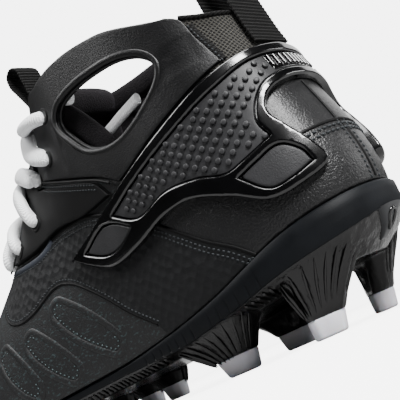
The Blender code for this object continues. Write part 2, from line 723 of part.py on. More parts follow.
def tongue(group, material):
    """Padded tongue under the throat, from the vamp up to the collar's front."""
    columns = 1 + int((TONGUE_LAST - TONGUE_FIRST) * COLUMNS_PER_STATION)
    stations = np.linspace(TONGUE_FIRST, TONGUE_LAST, columns)
    start = np.array([tucked(t, share) for t, share in zip(stations, rim_share(stations))])
    shares = [start + (1.0 - start) * k / TONGUE_ROWS for k in range(TONGUE_ROWS + 1)]
    instep = list(LAST).index("instep")
    depth = -WALL - 2 * GAP - TONGUE_SINK * np.clip((stations - instep) / (TONGUE_LAST - instep), 0.0, 1.0)
    outer = [skin(stations, share, depth) for share in shares]
    inner = [skin(STATIONS - stations, share, depth) for share in shares]
    ridge = stations >= list(LAST).index("waist")
    middle = 0.5 * (outer[-1] + inner[-1])
    form = bmesh.new()
    crests = []
    for half in (outer, inner):
        half[-1] = np.where(ridge[:, None], middle, half[-1])
        rows = [add_points(form, row) for row in half]
        add_strips(form, rows, closed=False)
        crests += rows[-1]
    bmesh.ops.remove_doubles(form, verts=crests, dist=0.01)
    bmesh.ops.recalc_face_normals(form, faces=form.faces)
    face_outwards(form, INSIDE)
    piece = to_object("tongue", form, group, material)
    thicken(piece, TONGUE_THICKNESS, -1.0)


def tucked(t, share):
    """Share of the section that lies a tuck's length below the rim."""
    below = share * (1.0 - HEIGHT_STEPS)
    points = last_point(np.full_like(below, t), below)
    lengths = np.concatenate(((0.0,), np.cumsum(np.linalg.norm(np.diff(points, axis=0), axis=1))))
    return np.interp(TONGUE_TUCK, lengths, below)


def webbing_loops(group, material):
    """Heel loop over the collar's back and tongue loop over the tongue's top."""
    heel = np.array(HEEL_LOOP, dtype=float)
    level = np.zeros(len(heel))
    heel[:, 0] += last_point(level, at_height(level, heel[:, 1]))[:, 0]
    front = np.array(TONGUE_LOOP, dtype=float)
    for name, path, half in (("heel_loop", heel, HEEL_LOOP_HALF), ("tongue_loop", front, TONGUE_LOOP_HALF)):
        form = bmesh.new()
        rows = []
        for y in (-half, half):
            rows.append(add_points(form, [(x, y, z) for x, z in path]))
        add_strips(form, rows, closed=False)
        thicken(to_object(name, form, group, material), WEBBING, 0.0)


def tube(points, diameter):
    """Closed round tube along points, as a mesh object still to be placed in a collection."""
    curve = bpy.data.curves.new("Lace path", "CURVE")
    curve.dimensions = "3D"
    curve.bevel_depth = 0.5 * diameter
    curve.bevel_resolution = 2
    curve.use_fill_caps = True
    spline = curve.splines.new("POLY")
    spline.points.add(len(points) - 1)
    for point, place in zip(spline.points, points):
        point.co = (*place, 1.0)
    path = bpy.data.objects.new("Lace path", curve)
    bpy.context.scene.collection.objects.link(path)
    bpy.context.view_layer.update()
    ready = path.evaluated_get(bpy.context.evaluated_depsgraph_get())
    mesh = bpy.data.meshes.new_from_object(ready)
    form = bmesh.new()
    form.from_mesh(mesh)
    bmesh.ops.remove_doubles(form, verts=form.verts, dist=0.001)
    bmesh.ops.recalc_face_normals(form, faces=form.faces)
    bpy.data.objects.remove(path, do_unlink=True)
    bpy.data.curves.remove(curve)
    bpy.data.meshes.remove(mesh)
    return form


def laid_on(chord, side):
    """Points of the last nearest to a chord, on one side of the foot, lifted to the lace's middle."""
    stations, shares = np.meshgrid(side * np.arange(*LACE_STATIONS), np.arange(*LACE_SHARES))
    stations = stations.ravel()
    shares = shares.ravel()
    form = last_point(stations, shares)
    near = [np.argmin(np.linalg.norm(form - point, axis=1)) for point in chord]
    return skin(stations[near], shares[near], LACE_LIFT)


def lace_bar(outer, inner):
    """Points of a bar over the tongue, from one row's outer eyelet to another row's inner eyelet."""
    ends = [dict(zip(LACE_COLUMNS, row)) for row in (outer, inner)]
    ridge = last_point(0.5 * (ends[0]["ridge"] + ends[1]["ridge"]), 1.0)
    halves = []
    for side, end in zip((1.0, -1.0), ends):
        station = side * end["eyelet"]
        eyelet = last_point(station, at_height(station, end["height"])[0])
        shares = np.linspace(0.0, 1.0, LACE_POINTS)[:, None]
        halves.append(laid_on(eyelet + (ridge - eyelet) * shares, side))
    middle = 0.5 * (halves[0][-1] + halves[1][-1])
    return np.concatenate((halves[0][:-1], middle[None, :], halves[1][-2::-1]))


def laces(group, cutters, material):
    """Lace bars from eyelet to eyelet, joined where they cross, and the loose end inside the collar."""
    bars = []
    for first, then in zip(LACE_ROWS, LACE_ROWS[1:]):
        bars += [lace_bar(first, then), lace_bar(then, first)]
    piece = to_object("lace", tube(bars[0], LACE_DIAMETER), group, material)
    for k, bar in enumerate(bars[1:], start=1):
        other = to_object(f"lace_bar_{k}", tube(bar, LACE_DIAMETER), cutters, material)
        combine(piece, other, "UNION")
    to_object("lace_end", tube(np.array(LACE_END, dtype=float), LACE_DIAMETER), group, material)


def main():
    clear_scene()
    group = named_collection("Lacrosse cleat")
    cutters = named_collection("Cutters")
    cloth = finish("Upper textile", CHARCOAL, 0.75)
    wing = finish("Moulded collar", BLACK, 0.5)
    gloss = finish("Glossy plastic", BLACK, 0.12)
    matte = finish("Matte grip", CHARCOAL, 0.7)
    foam = finish("Midsole foam", SLATE, 0.7)
    pale = finish("Stud tip", PALE, 0.45)
    plush = finish("Lining", BLACK, 0.95)
    webbing = finish("Webbing", BLACK, 0.8)
    lace = finish("Lace", WHITE, 0.8)
    upper(group, cutters, cloth)
    collar_overlays(group, wing)
    heel_cage(group, gloss, matte)
    sole_layers(group, foam, plush)
    outsole(group, cutters, gloss, pale)
    heel_panel(group, foam)
    tongue(group, plush)
    webbing_loops(group, webbing)
    laces(group, cutters, lace)


main()
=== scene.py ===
"""Looks of the lacrosse cleat: finished surfaces, laces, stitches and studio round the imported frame.

Sizes are in millimetres in the last's own frame: x runs from the back of the heel to the toe, y to
the outer side of the foot and z up from the stud tips. The finished meshes are in metres.
"""
import math

import bpy
import bmesh
import numpy as np
from mathutils import Matrix, Vector


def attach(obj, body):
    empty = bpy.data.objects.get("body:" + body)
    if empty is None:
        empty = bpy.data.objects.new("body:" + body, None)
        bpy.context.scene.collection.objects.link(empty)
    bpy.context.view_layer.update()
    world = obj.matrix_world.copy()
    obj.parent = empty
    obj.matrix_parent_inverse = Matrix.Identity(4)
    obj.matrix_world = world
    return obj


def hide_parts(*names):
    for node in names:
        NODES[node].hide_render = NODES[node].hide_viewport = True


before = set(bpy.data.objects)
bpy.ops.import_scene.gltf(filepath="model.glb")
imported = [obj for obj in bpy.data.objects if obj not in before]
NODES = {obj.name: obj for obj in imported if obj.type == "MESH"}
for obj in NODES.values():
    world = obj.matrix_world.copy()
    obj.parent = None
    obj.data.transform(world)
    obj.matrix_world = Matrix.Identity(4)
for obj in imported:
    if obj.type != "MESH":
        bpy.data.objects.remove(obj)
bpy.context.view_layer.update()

MM = 0.001
BOX_MIDDLE = (142.07, -0.10)
TO_METRES = Matrix.Scale(MM, 4) @ Matrix.Translation((-BOX_MIDDLE[0], -BOX_MIDDLE[1], 0.0))

# Camera: place in the last's frame, turn about x, y and z, and focal length in photo pixels
CAMERA_PLACE = (-129.9, 233.5, 6.0)
CAMERA_TURN = (102.82, 23.39, -133.17)
CAMERA_FOCAL = 768.7
FRAME_PIXELS = 400.0
SENSOR = 36.0
NEAR_LIMIT = 0.005

# The last: a row for each section from heel to toe, with the columns of the part's own source
WALL = 2.4
GAP = 0.4
REFERENCE_HEIGHT = 80.0
THROAT_END = 7.66
LAST_COLUMNS = ("x", "outer", "inner", "bite", "crest_x", "crest_half", "crest_z", "centre",
                "rise", "swell", "shoulder", "drop", "rim", "throat")
LAST = {
    "heel back":      (0, 0.0, 0.0, 42.0, 18, 0.0, 152, 0.0, 30, 4.0, -6.0, 52, 121.0, 0.0),
    "heel corner":    (7, 18.5, 18.5, 41.0, 23, 17.5, 152, 0.0, 30, 4.0, -5.0, 52, 122.5, 0.0),
    "heel side":      (28, 30.5, 30.0, 37.0, 42, 29.5, 152, 0.0, 30, 4.0, -2.0, 48, 131.5, 0.0),
    "ankle":          (56, 34.5, 33.0, 29.5, 66, 33.5, 152, 0.0, 34, 4.0, 0.0, 42, 141.5, 0.0),
    "front of ankle": (90, 34.5, 30.5, 24.5, 99, 31.0, 152, 0.5, 36, 4.0, 1.5, 38, 147.5, 0.0),
    "arch":           (118, 36.0, 28.0, 22.0, 128, 21.5, 152, 1.0, 36, 4.0, 5.0, 32, 147.5, 22.0),
    "waist":          (142, 39.5, 30.0, 21.0, 147, 0.0, 152, 0.0, 34, 4.0, 23.0, 10, 152.0, 18.5),
    "instep":         (172, 45.5, 38.0, 20.0, 171, 0.0, 118, -1.0, 30, 4.0, 24.0, 0, 152.0, 14.5),
    "ball":           (204, 48.5, 46.0, 20.0, 197, 0.0, 93, -3.0, 24, 4.0, 28.0, 0, 152.0, 0.0),
    "toe joint":      (236, 43.5, 48.5, 21.5, 224, 0.0, 75, -6.0, 20, 3.5, 27.0, 0, 152.0, 0.0),
    "toes":           (266, 25.0, 40.5, 25.0, 248, 0.0, 64, -9.0, 17, 3.0, 20.0, 0, 152.0, 0.0),
    "toe tip":        (286, -11.0, 11.0, 29.0, 262, 0.0, 57, -11.0, 14, 2.0, 14.0, 0, 152.0, 0.0),
}
SMOOTH_COLUMNS = ("x", "side", "bite", "crest_x", "crest_z", "centre")

# The sole below the bite line, at the same sections
SOLE_COLUMNS = ("flare", "band", "floor", "inset", "dish")
SOLE = {
    "heel back":      (1.5, 34.0, 20.0, 11.0, 4.0),
    "heel corner":    (1.5, 31.0, 20.0, 11.0, 4.0),
    "heel side":      (1.5, 27.5, 19.5, 10.0, 4.0),
    "ankle":          (1.2, 22.5, 18.0, 9.0, 3.0),
    "front of ankle": (0.6, 19.0, 15.0, 7.0, 1.5),
    "arch":           (-0.2, 19.0, 13.5, 6.0, 0.3),
    "waist":          (-0.6, 18.6, 13.0, 6.0, 0.0),
    "instep":         (-0.8, 17.8, 12.5, 5.0, 0.0),
    "ball":           (-0.8, 17.8, 12.5, 5.0, 0.0),
    "toe joint":      (-0.8, 19.3, 14.0, 5.0, 0.0),
    "toes":           (-0.8, 22.8, 18.0, 5.0, 0.0),
    "toe tip":        (-0.8, 26.8, 22.5, 4.0, 0.0),
}
PLATE_FLARE = 0.6
PLATE_LIP = 0.8
SIDE_HOLLOW = 0.4

# Studs: tip centre, turn and size, then the stretch of outline that the fin fans out to
STUD_COLUMNS = ("x", "y", "turn", "length", "width", "root_first", "root_last", "root_depth")
STUDS = {
    "heel_outer_rear":   (31, 18.7, 45, 12.0, 8.5, 0.40, 2.35, 17),
    "heel_inner_rear":   (31, -18.7, -45, 12.0, 8.5, 21.60, 19.65, 17),
    "heel_outer_front":  (75, 18.7, 4, 14.5, 8.5, 2.85, 4.25, 19),
    "heel_inner_front":  (75, -18.7, -4, 14.5, 8.5, 19.15, 17.75, 19),
    "ball_outer_rear":   (162, 30.0, 10, 12.5, 8.0, 6.35, 7.05, 20),
    "ball_inner_rear":   (162, -23.0, -14, 12.5, 8.0, 15.65, 14.95, 20),
    "ball_outer_mid":    (193, 36.0, 4, 12.5, 8.0, 7.30, 8.00, 20),
    "ball_inner_mid":    (193, -33.0, -12, 12.5, 8.0, 14.70, 14.00, 20),
    "ball_outer_front":  (223, 34.0, -10, 12.5, 8.0, 8.25, 8.95, 20),
    "ball_inner_front":  (223, -37.0, 0, 12.5, 8.0, 13.75, 13.05, 20),
    "toe_outer":         (247, 22.0, -35, 12.0, 8.0, 9.15, 9.80, 18),
    "toe_inner":         (247, -33.0, 14, 12.0, 8.0, 12.85, 12.20, 18),
}
STUD_FACTS = {name: dict(zip(STUD_COLUMNS, row)) for name, row in STUDS.items()}
TIP_HEIGHT = 6.5
STUD_SQUARENESS = 4.0
FIN_HOLLOW = 1.7
FIN_TOP = 1.2
FIN_INSET = 1.8
FIN_DROP = 0.5

# Flat patterns round the last: the way round from the middle of the heel, the height, and whether
# the edge turns sharply there
STRAP_TOP = (
    (0, 103.8, 0), (18, 102.4, 0), (34, 98.8, 0), (59, 91.3, 0), (89, 83.3, 0), (114, 75.9, 0),
    (134, 70.4, 1),
)
STRAP_BOTTOM = (
    (135, 69.0, 1), (122, 61.3, 0), (112, 57.4, 0), (94, 59.0, 0), (76, 62.8, 0), (62, 62.6, 0),
    (48, 56.0, 0), (37, 48.8, 0), (24, 49.6, 0), (16, 53.0, 0), (16.5, 58.5, 0), (21, 70.0, 0),
    (23, 77.0, 0), (18.5, 83.6, 0), (9, 86.8, 0), (0, 87.3, 0),
)
GRIP_TOP = (
    (0, 99.3, 0), (18, 98.2, 0), (34, 93.8, 0), (59, 86.6, 0), (86, 79.6, 0), (101, 75.0, 1),
)
GRIP_BOTTOM = (
    (88, 68.0, 0), (70, 70.2, 0), (56, 67.8, 0), (46, 63.8, 0), (38, 65.0, 0), (27, 68.2, 1),
    (27.8, 76.0, 0), (20.5, 86.2, 0), (10, 90.4, 0), (0, 91.0, 0),
)
REAR_INLAY = (
    (43, 60.2, 1), (35, 62.6, 0), (26.5, 64.4, 0), (21.5, 60.0, 0), (20, 54.4, 1), (28, 52.2, 0),
    (36, 52.2, 0),
)
FRONT_INLAY = (
    (126, 68.4, 1), (110, 73.6, 0), (102, 72.2, 0), (93, 66.6, 1), (104, 62.6, 0), (114, 62.8, 0),
)
WINDOW = (
    (112, 125, 0), (104, 131, 0), (78, 129.6, 0), (55, 123.4, 0), (48.5, 114, 0), (60, 104, 0),
    (80, 98.8, 0), (98, 103.6, 0), (108, 115, 0),
)
WING_LOWER = (
    (147, 111.5, 1), (127, 104, 0), (113, 97.6, 0), (101, 91.8, 0), (93, 86.4, 1), (89, 84.7, 0),
    (59, 92.7, 0), (34, 100.2, 0), (25, 102.6, 1), (26.5, 109, 0), (28.5, 116, 0),
)
EYESTAY_LOWER = (
    (196, 87.0, 1), (180, 84.5, 0), (162, 83.2, 0), (141, 85.6, 0), (118, 82.4, 0), (97, 82.6, 1),
    (103, 91.6, 0), (113, 96.6, 0), (127, 102.6, 0), (140, 106.8, 0), (149.5, 109.0, 1),
)
QUARTER_TOP = (
    (196, 86.4, 1), (180, 84.0, 0), (162, 82.6, 0), (152, 84.6, 0), (141, 85.2, 0), (130, 84.2, 0),
    (118, 82.2, 0), (104, 76.0, 0), (84, 62.7, 0), (74.5, 54.5, 0), (66, 47.0, 0), (58, 41.0, 0),
    (51.6, 34.8, 1),
)
VAMP_BORDER = (
    (107, 29.6, 0), (118, 38.6, 0), (128, 49.0, 0), (137, 57.0, 0), (143, 61.5, 0), (150, 64.4, 0),
    (156, 64.4, 0), (163, 62.2, 0), (171, 59.6, 0), (182, 58.8, 0), (192, 62.0, 0), (200, 70.0, 0),
)
KNIT_LOWER = ((31, 99.0, 1), (18, 101.5, 0), (0, 102.6, 0))

# Overlays: how far they stand off the upper, how thick they are and how their rims are rounded
STRAP_THICKNESS = 3.0
STRAP_ROUNDING = 1.1
GRIP_THICKNESS = 1.9
GRIP_ROUNDING = 0.3
INLAY_THICKNESS = 2.2
INLAY_ROUNDING = 0.7
OVERLAY_THICKNESS = 1.0
WING_LIFT = 0.6
WING_ROUNDING = 0.5
WING_SLICE = 1.5
STAY_LIFT = 1.3
STAY_ROUNDING = 0.4
STAY_TOP = STAY_LIFT + OVERLAY_THICKNESS
UNDERLAY_LIFT = 0.05
UNDERLAY_THICKNESS = 0.32
UNDERLAY_ROUNDING = 0.15
UNDERLAY_TOP = UNDERLAY_LIFT + UNDERLAY_THICKNESS
RIM_MARGIN = 0.7
WINDOW_CUT = (-9.0, 6.0)
WINDOW_CUT_ROUNDING = 0.2
WINDOW_CUT_SLICE = 6.0

# Stretches of the upper's rim or of its foot that a pattern follows: first, last and count of points
QUARTER_FOOT = (53.0, 104.0, 8)
WING_RIM = (1.5, 5.85, 10)
EYESTAY_RIM = (6.12, 7.6, 6)
KNIT_RIM = (0.0, 1.75, 6)

# Lace: station and height of each eyelet, and the station where the bar crosses the tongue's ridge
LACE_COLUMNS = ("eyelet", "height", "ridge")
LACE_ROWS = (
    (4.42, 132, 6.30), (4.78, 115.5, 6.42), (5.75, 112.5, 6.66), (6.12, 95, 6.92), (6.80, 89, 7.18),
    (7.30, 85, 7.45),
)
LACE_ENDS = [dict(zip(LACE_COLUMNS, row)) for row in LACE_ROWS]
LACE_WIDTH = 4.6
LACE_STEP = 0.7
LACE_LIFT = 5.0
BAR_HALF = (4.3, 3.0)
BAR_CAP = 3.87
BAR_START_LIFT = 3.2
BAR_START_SHARE = 0.7
LACE_POINTS = 4
LACE_STATIONS = (4.1, 7.8, 0.02)
LACE_SHARES = (0.4, 1.0, 0.005)
LACE_END = (
    (120.7, 22.5, 134.5), (114, 19.5, 128), (106, 18.5, 120), (97, 20.5, 113.5), (88, 24, 110.5),
    (76, 25.5, 111), (63, 26, 112),
)
LACE_END_HALF = (0.5 * LACE_WIDTH, 1.5)
LACE_END_STEP = 1.0
LACE_END_UP = (0.0, 1.0, 0.25)
LACE_STUB = ((112.5, 25.0, 138.0), (104.0, 26.8, 135.8), (96.0, 27.6, 132.4))
LACE_STUB_HALF = (3.5, 2.2)
LACE_STUB_CAP = 1.2
LACE_SINK = 0.2

HEEL_LOOP_HALF = 10.0
HEEL_LOOP = ((-1.3, 106), (-1.3, 112), (-1.4, 120), (-1.0, 130), (0.0, 140), (2.4, 147), (5.8, 149.5),
             (8.8, 147), (10.2, 140), (10.2, 130), (9.4, 120), (9.2, 111))
TONGUE_LOOP_HALF = 6.5
TONGUE_LOOP = ((149.7, 146.1), (147.6, 148.6), (148.6, 153.5), (151.6, 160), (155.8, 168), (159.0, 175),
               (158.6, 179), (154.4, 181.2), (150.2, 179), (148.3, 172), (147.0, 164), (145.6, 157),
               (144.2, 151.9))
WEBBING = 1.5
WEBBING_STEP = 0.28
WEBBING_RIB_PITCH = 1.7
WEBBING_RIB = (0.86, 0.28)

TONGUE_THICKNESS = 4.5
TONGUE_TUCK = 12.0
TONGUE_FIRST = 5.0
TONGUE_LAST = 7.7
TONGUE_SINK = 1.8
TONGUE_COLUMNS = 81
TONGUE_ROWS = 60
TONGUE_ROUNDING = 1.6
TONGUE_EDGE = math.radians(60.0)
RIDGE_NEAR = 1e-4

# Fineness of the finished meshes
OUTLINE_STEPS = 8
SLICE = 2.0
ROUND_STEPS = 4
UPPER_COLUMNS = 330
UPPER_ROWS = 56
SHARP_ANGLE = math.radians(50.0)
GRID_WELD = 0.004
SHEET_WELD = 0.02
SOLID_WELD = 1e-6
HALVINGS = 20
READINGS = 40


# Curves once round the foot

def between(u, start, leave, end, arrive):
    """Point of a smooth curve at share u, from its two ends and the slopes there."""
    return ((2 * u ** 3 - 3 * u ** 2 + 1) * start + (u ** 3 - 2 * u ** 2 + u) * leave
            + (3 * u ** 2 - 2 * u ** 3) * end + (u ** 3 - u ** 2) * arrive)


def lengths_along(points):
    """Length of a path up to each of its points."""
    return np.concatenate(((0.0,), np.cumsum(np.linalg.norm(np.diff(points, axis=0), axis=1))))


def ring_angles(count):
    """Angles evenly spaced once round."""
    return np.linspace(0.0, 2.0 * math.pi, count + 1)[:-1]


def around(outer, inner):
    """Station values heel to toe on the outer side, then toe to heel on the inner side."""
    return np.concatenate((outer, inner[-2:0:-1])).astype(float)


def smooth_slopes(values):
    """Slopes of the closed cubic spline through the stations."""
    count = len(values)
    ahead = np.roll(np.eye(count), 1, axis=1)
    spread = 3.0 * (np.roll(values, -1) - np.roll(values, 1))
    return np.linalg.solve(4.0 * np.eye(count) + ahead + ahead.T, spread)


def level_slopes(values):
    """Slopes that never swing past the stations."""
    before = values - np.roll(values, 1)
    after = np.roll(values, -1) - values
    same_way = before * after > 0.0
    total = np.where(same_way, before + after, 1.0)
    return np.where(same_way, 2.0 * before * after / total, 0.0)


def station_curves():
    """Values and slopes of every column, once round the foot."""
    last = dict(zip(LAST_COLUMNS, np.array(list(LAST.values()), dtype=float).T))
    sole = dict(zip(SOLE_COLUMNS, np.array(list(SOLE.values()), dtype=float).T))
    values = {"side": around(last.pop("outer"), -last.pop("inner"))}
    for name, column in list(last.items()) + list(sole.items()):
        values[name] = around(column, column)
    curves = {}
    for name, column in values.items():
        slopes = smooth_slopes(column) if name in SMOOTH_COLUMNS else level_slopes(column)
        curves[name] = (column, slopes)
    return curves


CURVES = station_curves()
STATIONS = 2 * (len(LAST) - 1)
TOE = STATIONS // 2
INSTEP = list(LAST).index("instep")
WAIST = list(LAST).index("waist")


def read(name, t):
    """Value of a column at station t, counted once round the foot from the heel."""
    values, slopes = CURVES[name]
    t = np.asarray(t, dtype=float) % STATIONS
    first = np.floor(t).astype(int) % STATIONS
    then = (first + 1) % STATIONS
    u = t - np.floor(t)
    return between(u, values[first], slopes[first], values[then], slopes[then])


def outwards(t):
    """Unit direction out of the outline, level with the floor."""
    step = 0.01
    along_x = read("x", t + step) - read("x", t - step)
    along_y = read("side", t + step) - read("side", t - step)
    size = np.hypot(along_x, along_y)
    return np.stack((-along_y / size, along_x / size, np.zeros_like(size)), axis=-1)


def outline(t, outset, height):
    """Point of the sole's outline, moved out by outset, at a height."""
    t = np.asarray(t, dtype=float)
    flat = np.stack((read("x", t), read("side", t), np.zeros_like(t)), axis=-1)
    up = np.stack((np.zeros_like(t), np.zeros_like(t), np.broadcast_to(height, t.shape)), axis=-1)
    return flat + outwards(t) * np.broadcast_to(outset, t.shape)[..., None] + up


def last_point(t, v):
    """Point of the last: v runs from the bite line to the crest of the section."""
    t, v = np.broadcast_arrays(np.asarray(t, dtype=float), np.asarray(v, dtype=float))
    half = np.where(t % STATIONS < TOE, 1.0, -1.0) * read("crest_half", t)
    up = np.array((0.0, 0.0, 1.0))
    out = outwards(t)
    foot = outline(t, 0.0, read("bite", t))
    crest = np.stack((read("crest_x", t), read("centre", t) + half, read("crest_z", t)), axis=-1)
    low = foot + up * read("rise", t)[..., None] + out * read("swell", t)[..., None]
    high = crest + out * read("shoulder", t)[..., None] - up * read("drop", t)[..., None]
    v = v[..., None]
    w = 1.0 - v
    return w ** 3 * foot + 3 * w * w * v * low + 3 * w * v * v * high + v ** 3 * crest


def last_normal(t, v):
    """Unit direction out of the last."""
    step = 0.004
    t, v = np.broadcast_arrays(np.asarray(t, dtype=float), np.asarray(v, dtype=float))
    v = np.clip(v, step, 1.0 - step)
    up = last_point(t, v + step) - last_point(t, v - step)
    along = last_point(t + step, v) - last_point(t - step, v)
    normal = np.cross(up, along)
    return normal / np.linalg.norm(normal, axis=-1, keepdims=True)


def skin(t, v, lift):
    """Point of the last, lifted along its normal."""
    normal = last_normal(t, v)
    return last_point(t, v) + normal * np.broadcast_to(lift, normal.shape[:-1])[..., None]


def at_height(t, height):
    """Share of the section, v, where it reaches a height."""
    t = np.atleast_1d(np.asarray(t, dtype=float))
    low = np.zeros_like(t)
    high = np.ones_like(t)
    for _ in range(HALVINGS):
        middle = 0.5 * (low + high)
        below = last_point(t, middle)[..., 2] < height
        low = np.where(below, middle, low)
        high = np.where(below, high, middle)
    return 0.5 * (low + high)


def way_round():
    """Lengths round the last at the reference height, with the station at each."""
    stations = np.linspace(-TOE, TOE, READINGS * STATIONS + 1)
    ring = last_point(stations, at_height(stations, REFERENCE_HEIGHT))
    lengths = lengths_along(ring)
    return lengths - np.interp(0.0, stations, lengths), stations


AROUND, AROUND_STATION = way_round()
SHARES = np.linspace(0.0, 1.0, 4 * READINGS + 1)


def rim_share(t):
    """Share of the section where the upper ends: at the collar, the throat or, closed, the crest."""
    t = np.atleast_1d(np.asarray(t, dtype=float))
    from_heel = np.minimum(t % STATIONS, STATIONS - t % STATIONS)
    past = np.clip((from_heel - INSTEP) / (THROAT_END - INSTEP), 0.0, 1.0)
    half = np.where(from_heel < INSTEP, read("throat", t), LAST["instep"][-1] * np.sqrt(1.0 - past ** 2))
    points = last_point(t[:, None], SHARES[None, :])
    aside = np.abs(points[..., 1] - read("centre", t)[:, None])
    spare = np.minimum(aside - half[:, None], (read("rim", t)[:, None] - points[..., 2]))
    spare[:, 0] = np.maximum(spare[:, 0], 1e-6)
    shares = []
    for row in spare:
        ended = np.nonzero(row < 0.0)[0]
        if len(ended) == 0:
            shares.append(1.0)
            continue
        k = ended[0]
        part = row[k - 1] / (row[k - 1] - row[k])
        shares.append(SHARES[k - 1] + part * (SHARES[k] - SHARES[k - 1]))
    return np.array(shares)


def pattern_place(flat):
    """Station and share of pattern points, given as the way round and the height."""
    stations = np.interp(flat[:, 0], AROUND, AROUND_STATION)
    return stations, at_height(stations, flat[:, 1])


def on_pattern(flat, lift):
    """Points of the last under pattern points, lifted."""
    return skin(*pattern_place(np.asarray(flat, dtype=float)), lift)


def pattern_curve(points, closed=True):
    """Edge through pattern points, smooth but at the corners."""
    points = [tuple(map(float, point)) for point in points]
    count = len(points)
    flat = np.array([point[:2] for point in points])
    edge = []
    for i in range(count if closed else count - 1):
        here, there = flat[i], flat[(i + 1) % count]
        before = flat[i - 1] if closed or i > 0 else here
        after = flat[(i + 2) % count] if closed or i + 2 < count else there
        chord = there - here
        reach = np.linalg.norm(chord)
        leave = chord if points[i][2] else there - before
        arrive = chord if points[(i + 1) % count][2] else after - here
        leave = leave / np.linalg.norm(leave) * reach
        arrive = arrive / np.linalg.norm(arrive) * reach
        for u in np.arange(OUTLINE_STEPS) / OUTLINE_STEPS:
            edge.append(between(u, here, leave, there, arrive))
    if not closed:
        edge.append(flat[-1])
    return np.array(edge)


def edge_normals(edge):
    """Directions out to the left of an edge that runs on, in the pattern's plane."""
    ahead = np.gradient(edge, axis=0)
    ahead /= np.linalg.norm(ahead, axis=1, keepdims=True)
    return np.stack((-ahead[:, 1], ahead[:, 0]), axis=1)


def shrink(edge, margin):
    """Closed edge moved inwards by a margin."""
    ahead = np.roll(edge, -1, axis=0) - edge
    ahead /= np.linalg.norm(ahead, axis=1, keepdims=True)
    mean = ahead + np.roll(ahead, 1, axis=0)
    mean /= np.linalg.norm(mean, axis=1, keepdims=True)
    area = np.sum(edge[:, 0] * np.roll(edge[:, 1], -1) - np.roll(edge[:, 0], -1) * edge[:, 1])
    inwards = np.stack((-mean[:, 1], mean[:, 0]), axis=1) * np.sign(area)
    return edge + inwards * margin


def inner_side(lengths):
    """Way round to the same station on the inner side of the foot."""
    stations = np.interp(lengths, AROUND, AROUND_STATION)
    return np.interp(-stations, AROUND_STATION, AROUND)


def mirror_edge(edge):
    """Closed edge on the inner side of the foot, turned to run the same way round."""
    return np.stack((inner_side(edge[:, 0]), edge[:, 1]), axis=1)[::-1]


def sides(edge):
    """An outer edge and its mirror image, by side."""
    return (("outer", edge), ("inner", mirror_edge(edge)))


def closed_arms(top, bottom):
    """Whole edge of a piece that crosses the heel: inner arm, top, outer arm and underside."""
    def mirrored(rows):
        return [(inner_side(a), up, corner) for a, up, corner in reversed(rows) if a != 0]
    return mirrored(top) + list(top) + list(bottom) + mirrored(bottom)


def rim_edge(first, last, count, inner):
    """Pattern points along the upper's rim between two stations, all counted on the outer side."""
    stations = np.linspace(first, last, count)
    side = -stations if inner else stations
    heights = last_point(side, rim_share(side))[:, 2]
    lengths = np.interp(stations, AROUND_STATION, AROUND)
    return [(a, up, 0) for a, up in zip(lengths, heights)]


def bite_edge(first, last, count):
    """Pattern points just above the bite line between two lengths round the outer side."""
    lengths = np.linspace(first, last, count)
    heights = read("bite", np.interp(lengths, AROUND, AROUND_STATION)) + GAP
    return [(a, up, 0) for a, up in zip(lengths, heights)]


# Meshes

def mesh_from(name, form):
    """Mesh from a form, which is used up."""
    mesh = bpy.data.meshes.new(name)
    form.to_mesh(mesh)
    form.free()
    return mesh


def new_object(name, data):
    """Object in the scene, at the origin."""
    thing = bpy.data.objects.new(name, data)
    bpy.context.scene.collection.objects.link(thing)
    return thing


def packed_form(node):
    """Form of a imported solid, in metres."""
    form = bmesh.new()
    form.from_mesh(NODES[node].data)
    bmesh.ops.remove_doubles(form, verts=form.verts, dist=SOLID_WELD)
    return form


def chart(form, **columns):
    """Stores named values on the vertices, for the finishes to read."""
    for name, column in columns.items():
        layer = form.verts.layers.float.new(name)
        for vert, value in zip(form.verts, np.broadcast_to(column, len(form.verts))):
            vert[layer] = value


def move_to(form, points):
    """Moves the vertices to points, in their order."""
    for vert, point in zip(form.verts, points):
        vert.co = point


def places_of(form):
    """Places of the vertices, in their order."""
    return np.array([vert.co[:] for vert in form.verts])


def grid_form(columns, rows, place):
    """Grid laid out by a function of two shares, closed where its edges meet."""
    form = bmesh.new()
    bmesh.ops.create_grid(form, x_segments=columns, y_segments=rows, size=0.5)
    flat = places_of(form) + 0.5
    points, values = place(flat[:, 0], flat[:, 1])
    move_to(form, points)
    chart(form, **values)
    bmesh.ops.remove_doubles(form, verts=form.verts, dist=GRID_WELD)
    return form


def facing_out(form):
    """Closed form with its faces pointing out."""
    bmesh.ops.recalc_face_normals(form, faces=form.faces)
    if form.calc_volume(signed=True) < 0.0:
        bmesh.ops.reverse_faces(form, faces=form.faces)
    return form


def turned_sheet(form, furthest, facing):
    """Open sheet turned so that its face furthest one way looks another way."""
    bmesh.ops.recalc_face_normals(form, faces=form.faces)
    guide = max(form.faces, key=lambda face: face.calc_center_median().dot(Vector(furthest)))
    if guide.normal.dot(Vector(facing)) < 0.0:
        bmesh.ops.reverse_faces(form, faces=form.faces)
    return form


def joined(forms):
    """One form from several, which are used up."""
    whole = bmesh.new()
    for form in forms:
        mesh = mesh_from("joined", form)
        whole.from_mesh(mesh)
        bpy.data.meshes.remove(mesh)
    return whole


def piece_from(name, form, materials, nodes=(), sharp=SHARP_ANGLE):
    """Finished piece from a form in millimetres, riding on the shoe."""
    bmesh.ops.transform(form, matrix=TO_METRES, verts=form.verts)
    return piece_in_metres(name, form, materials, nodes, sharp)


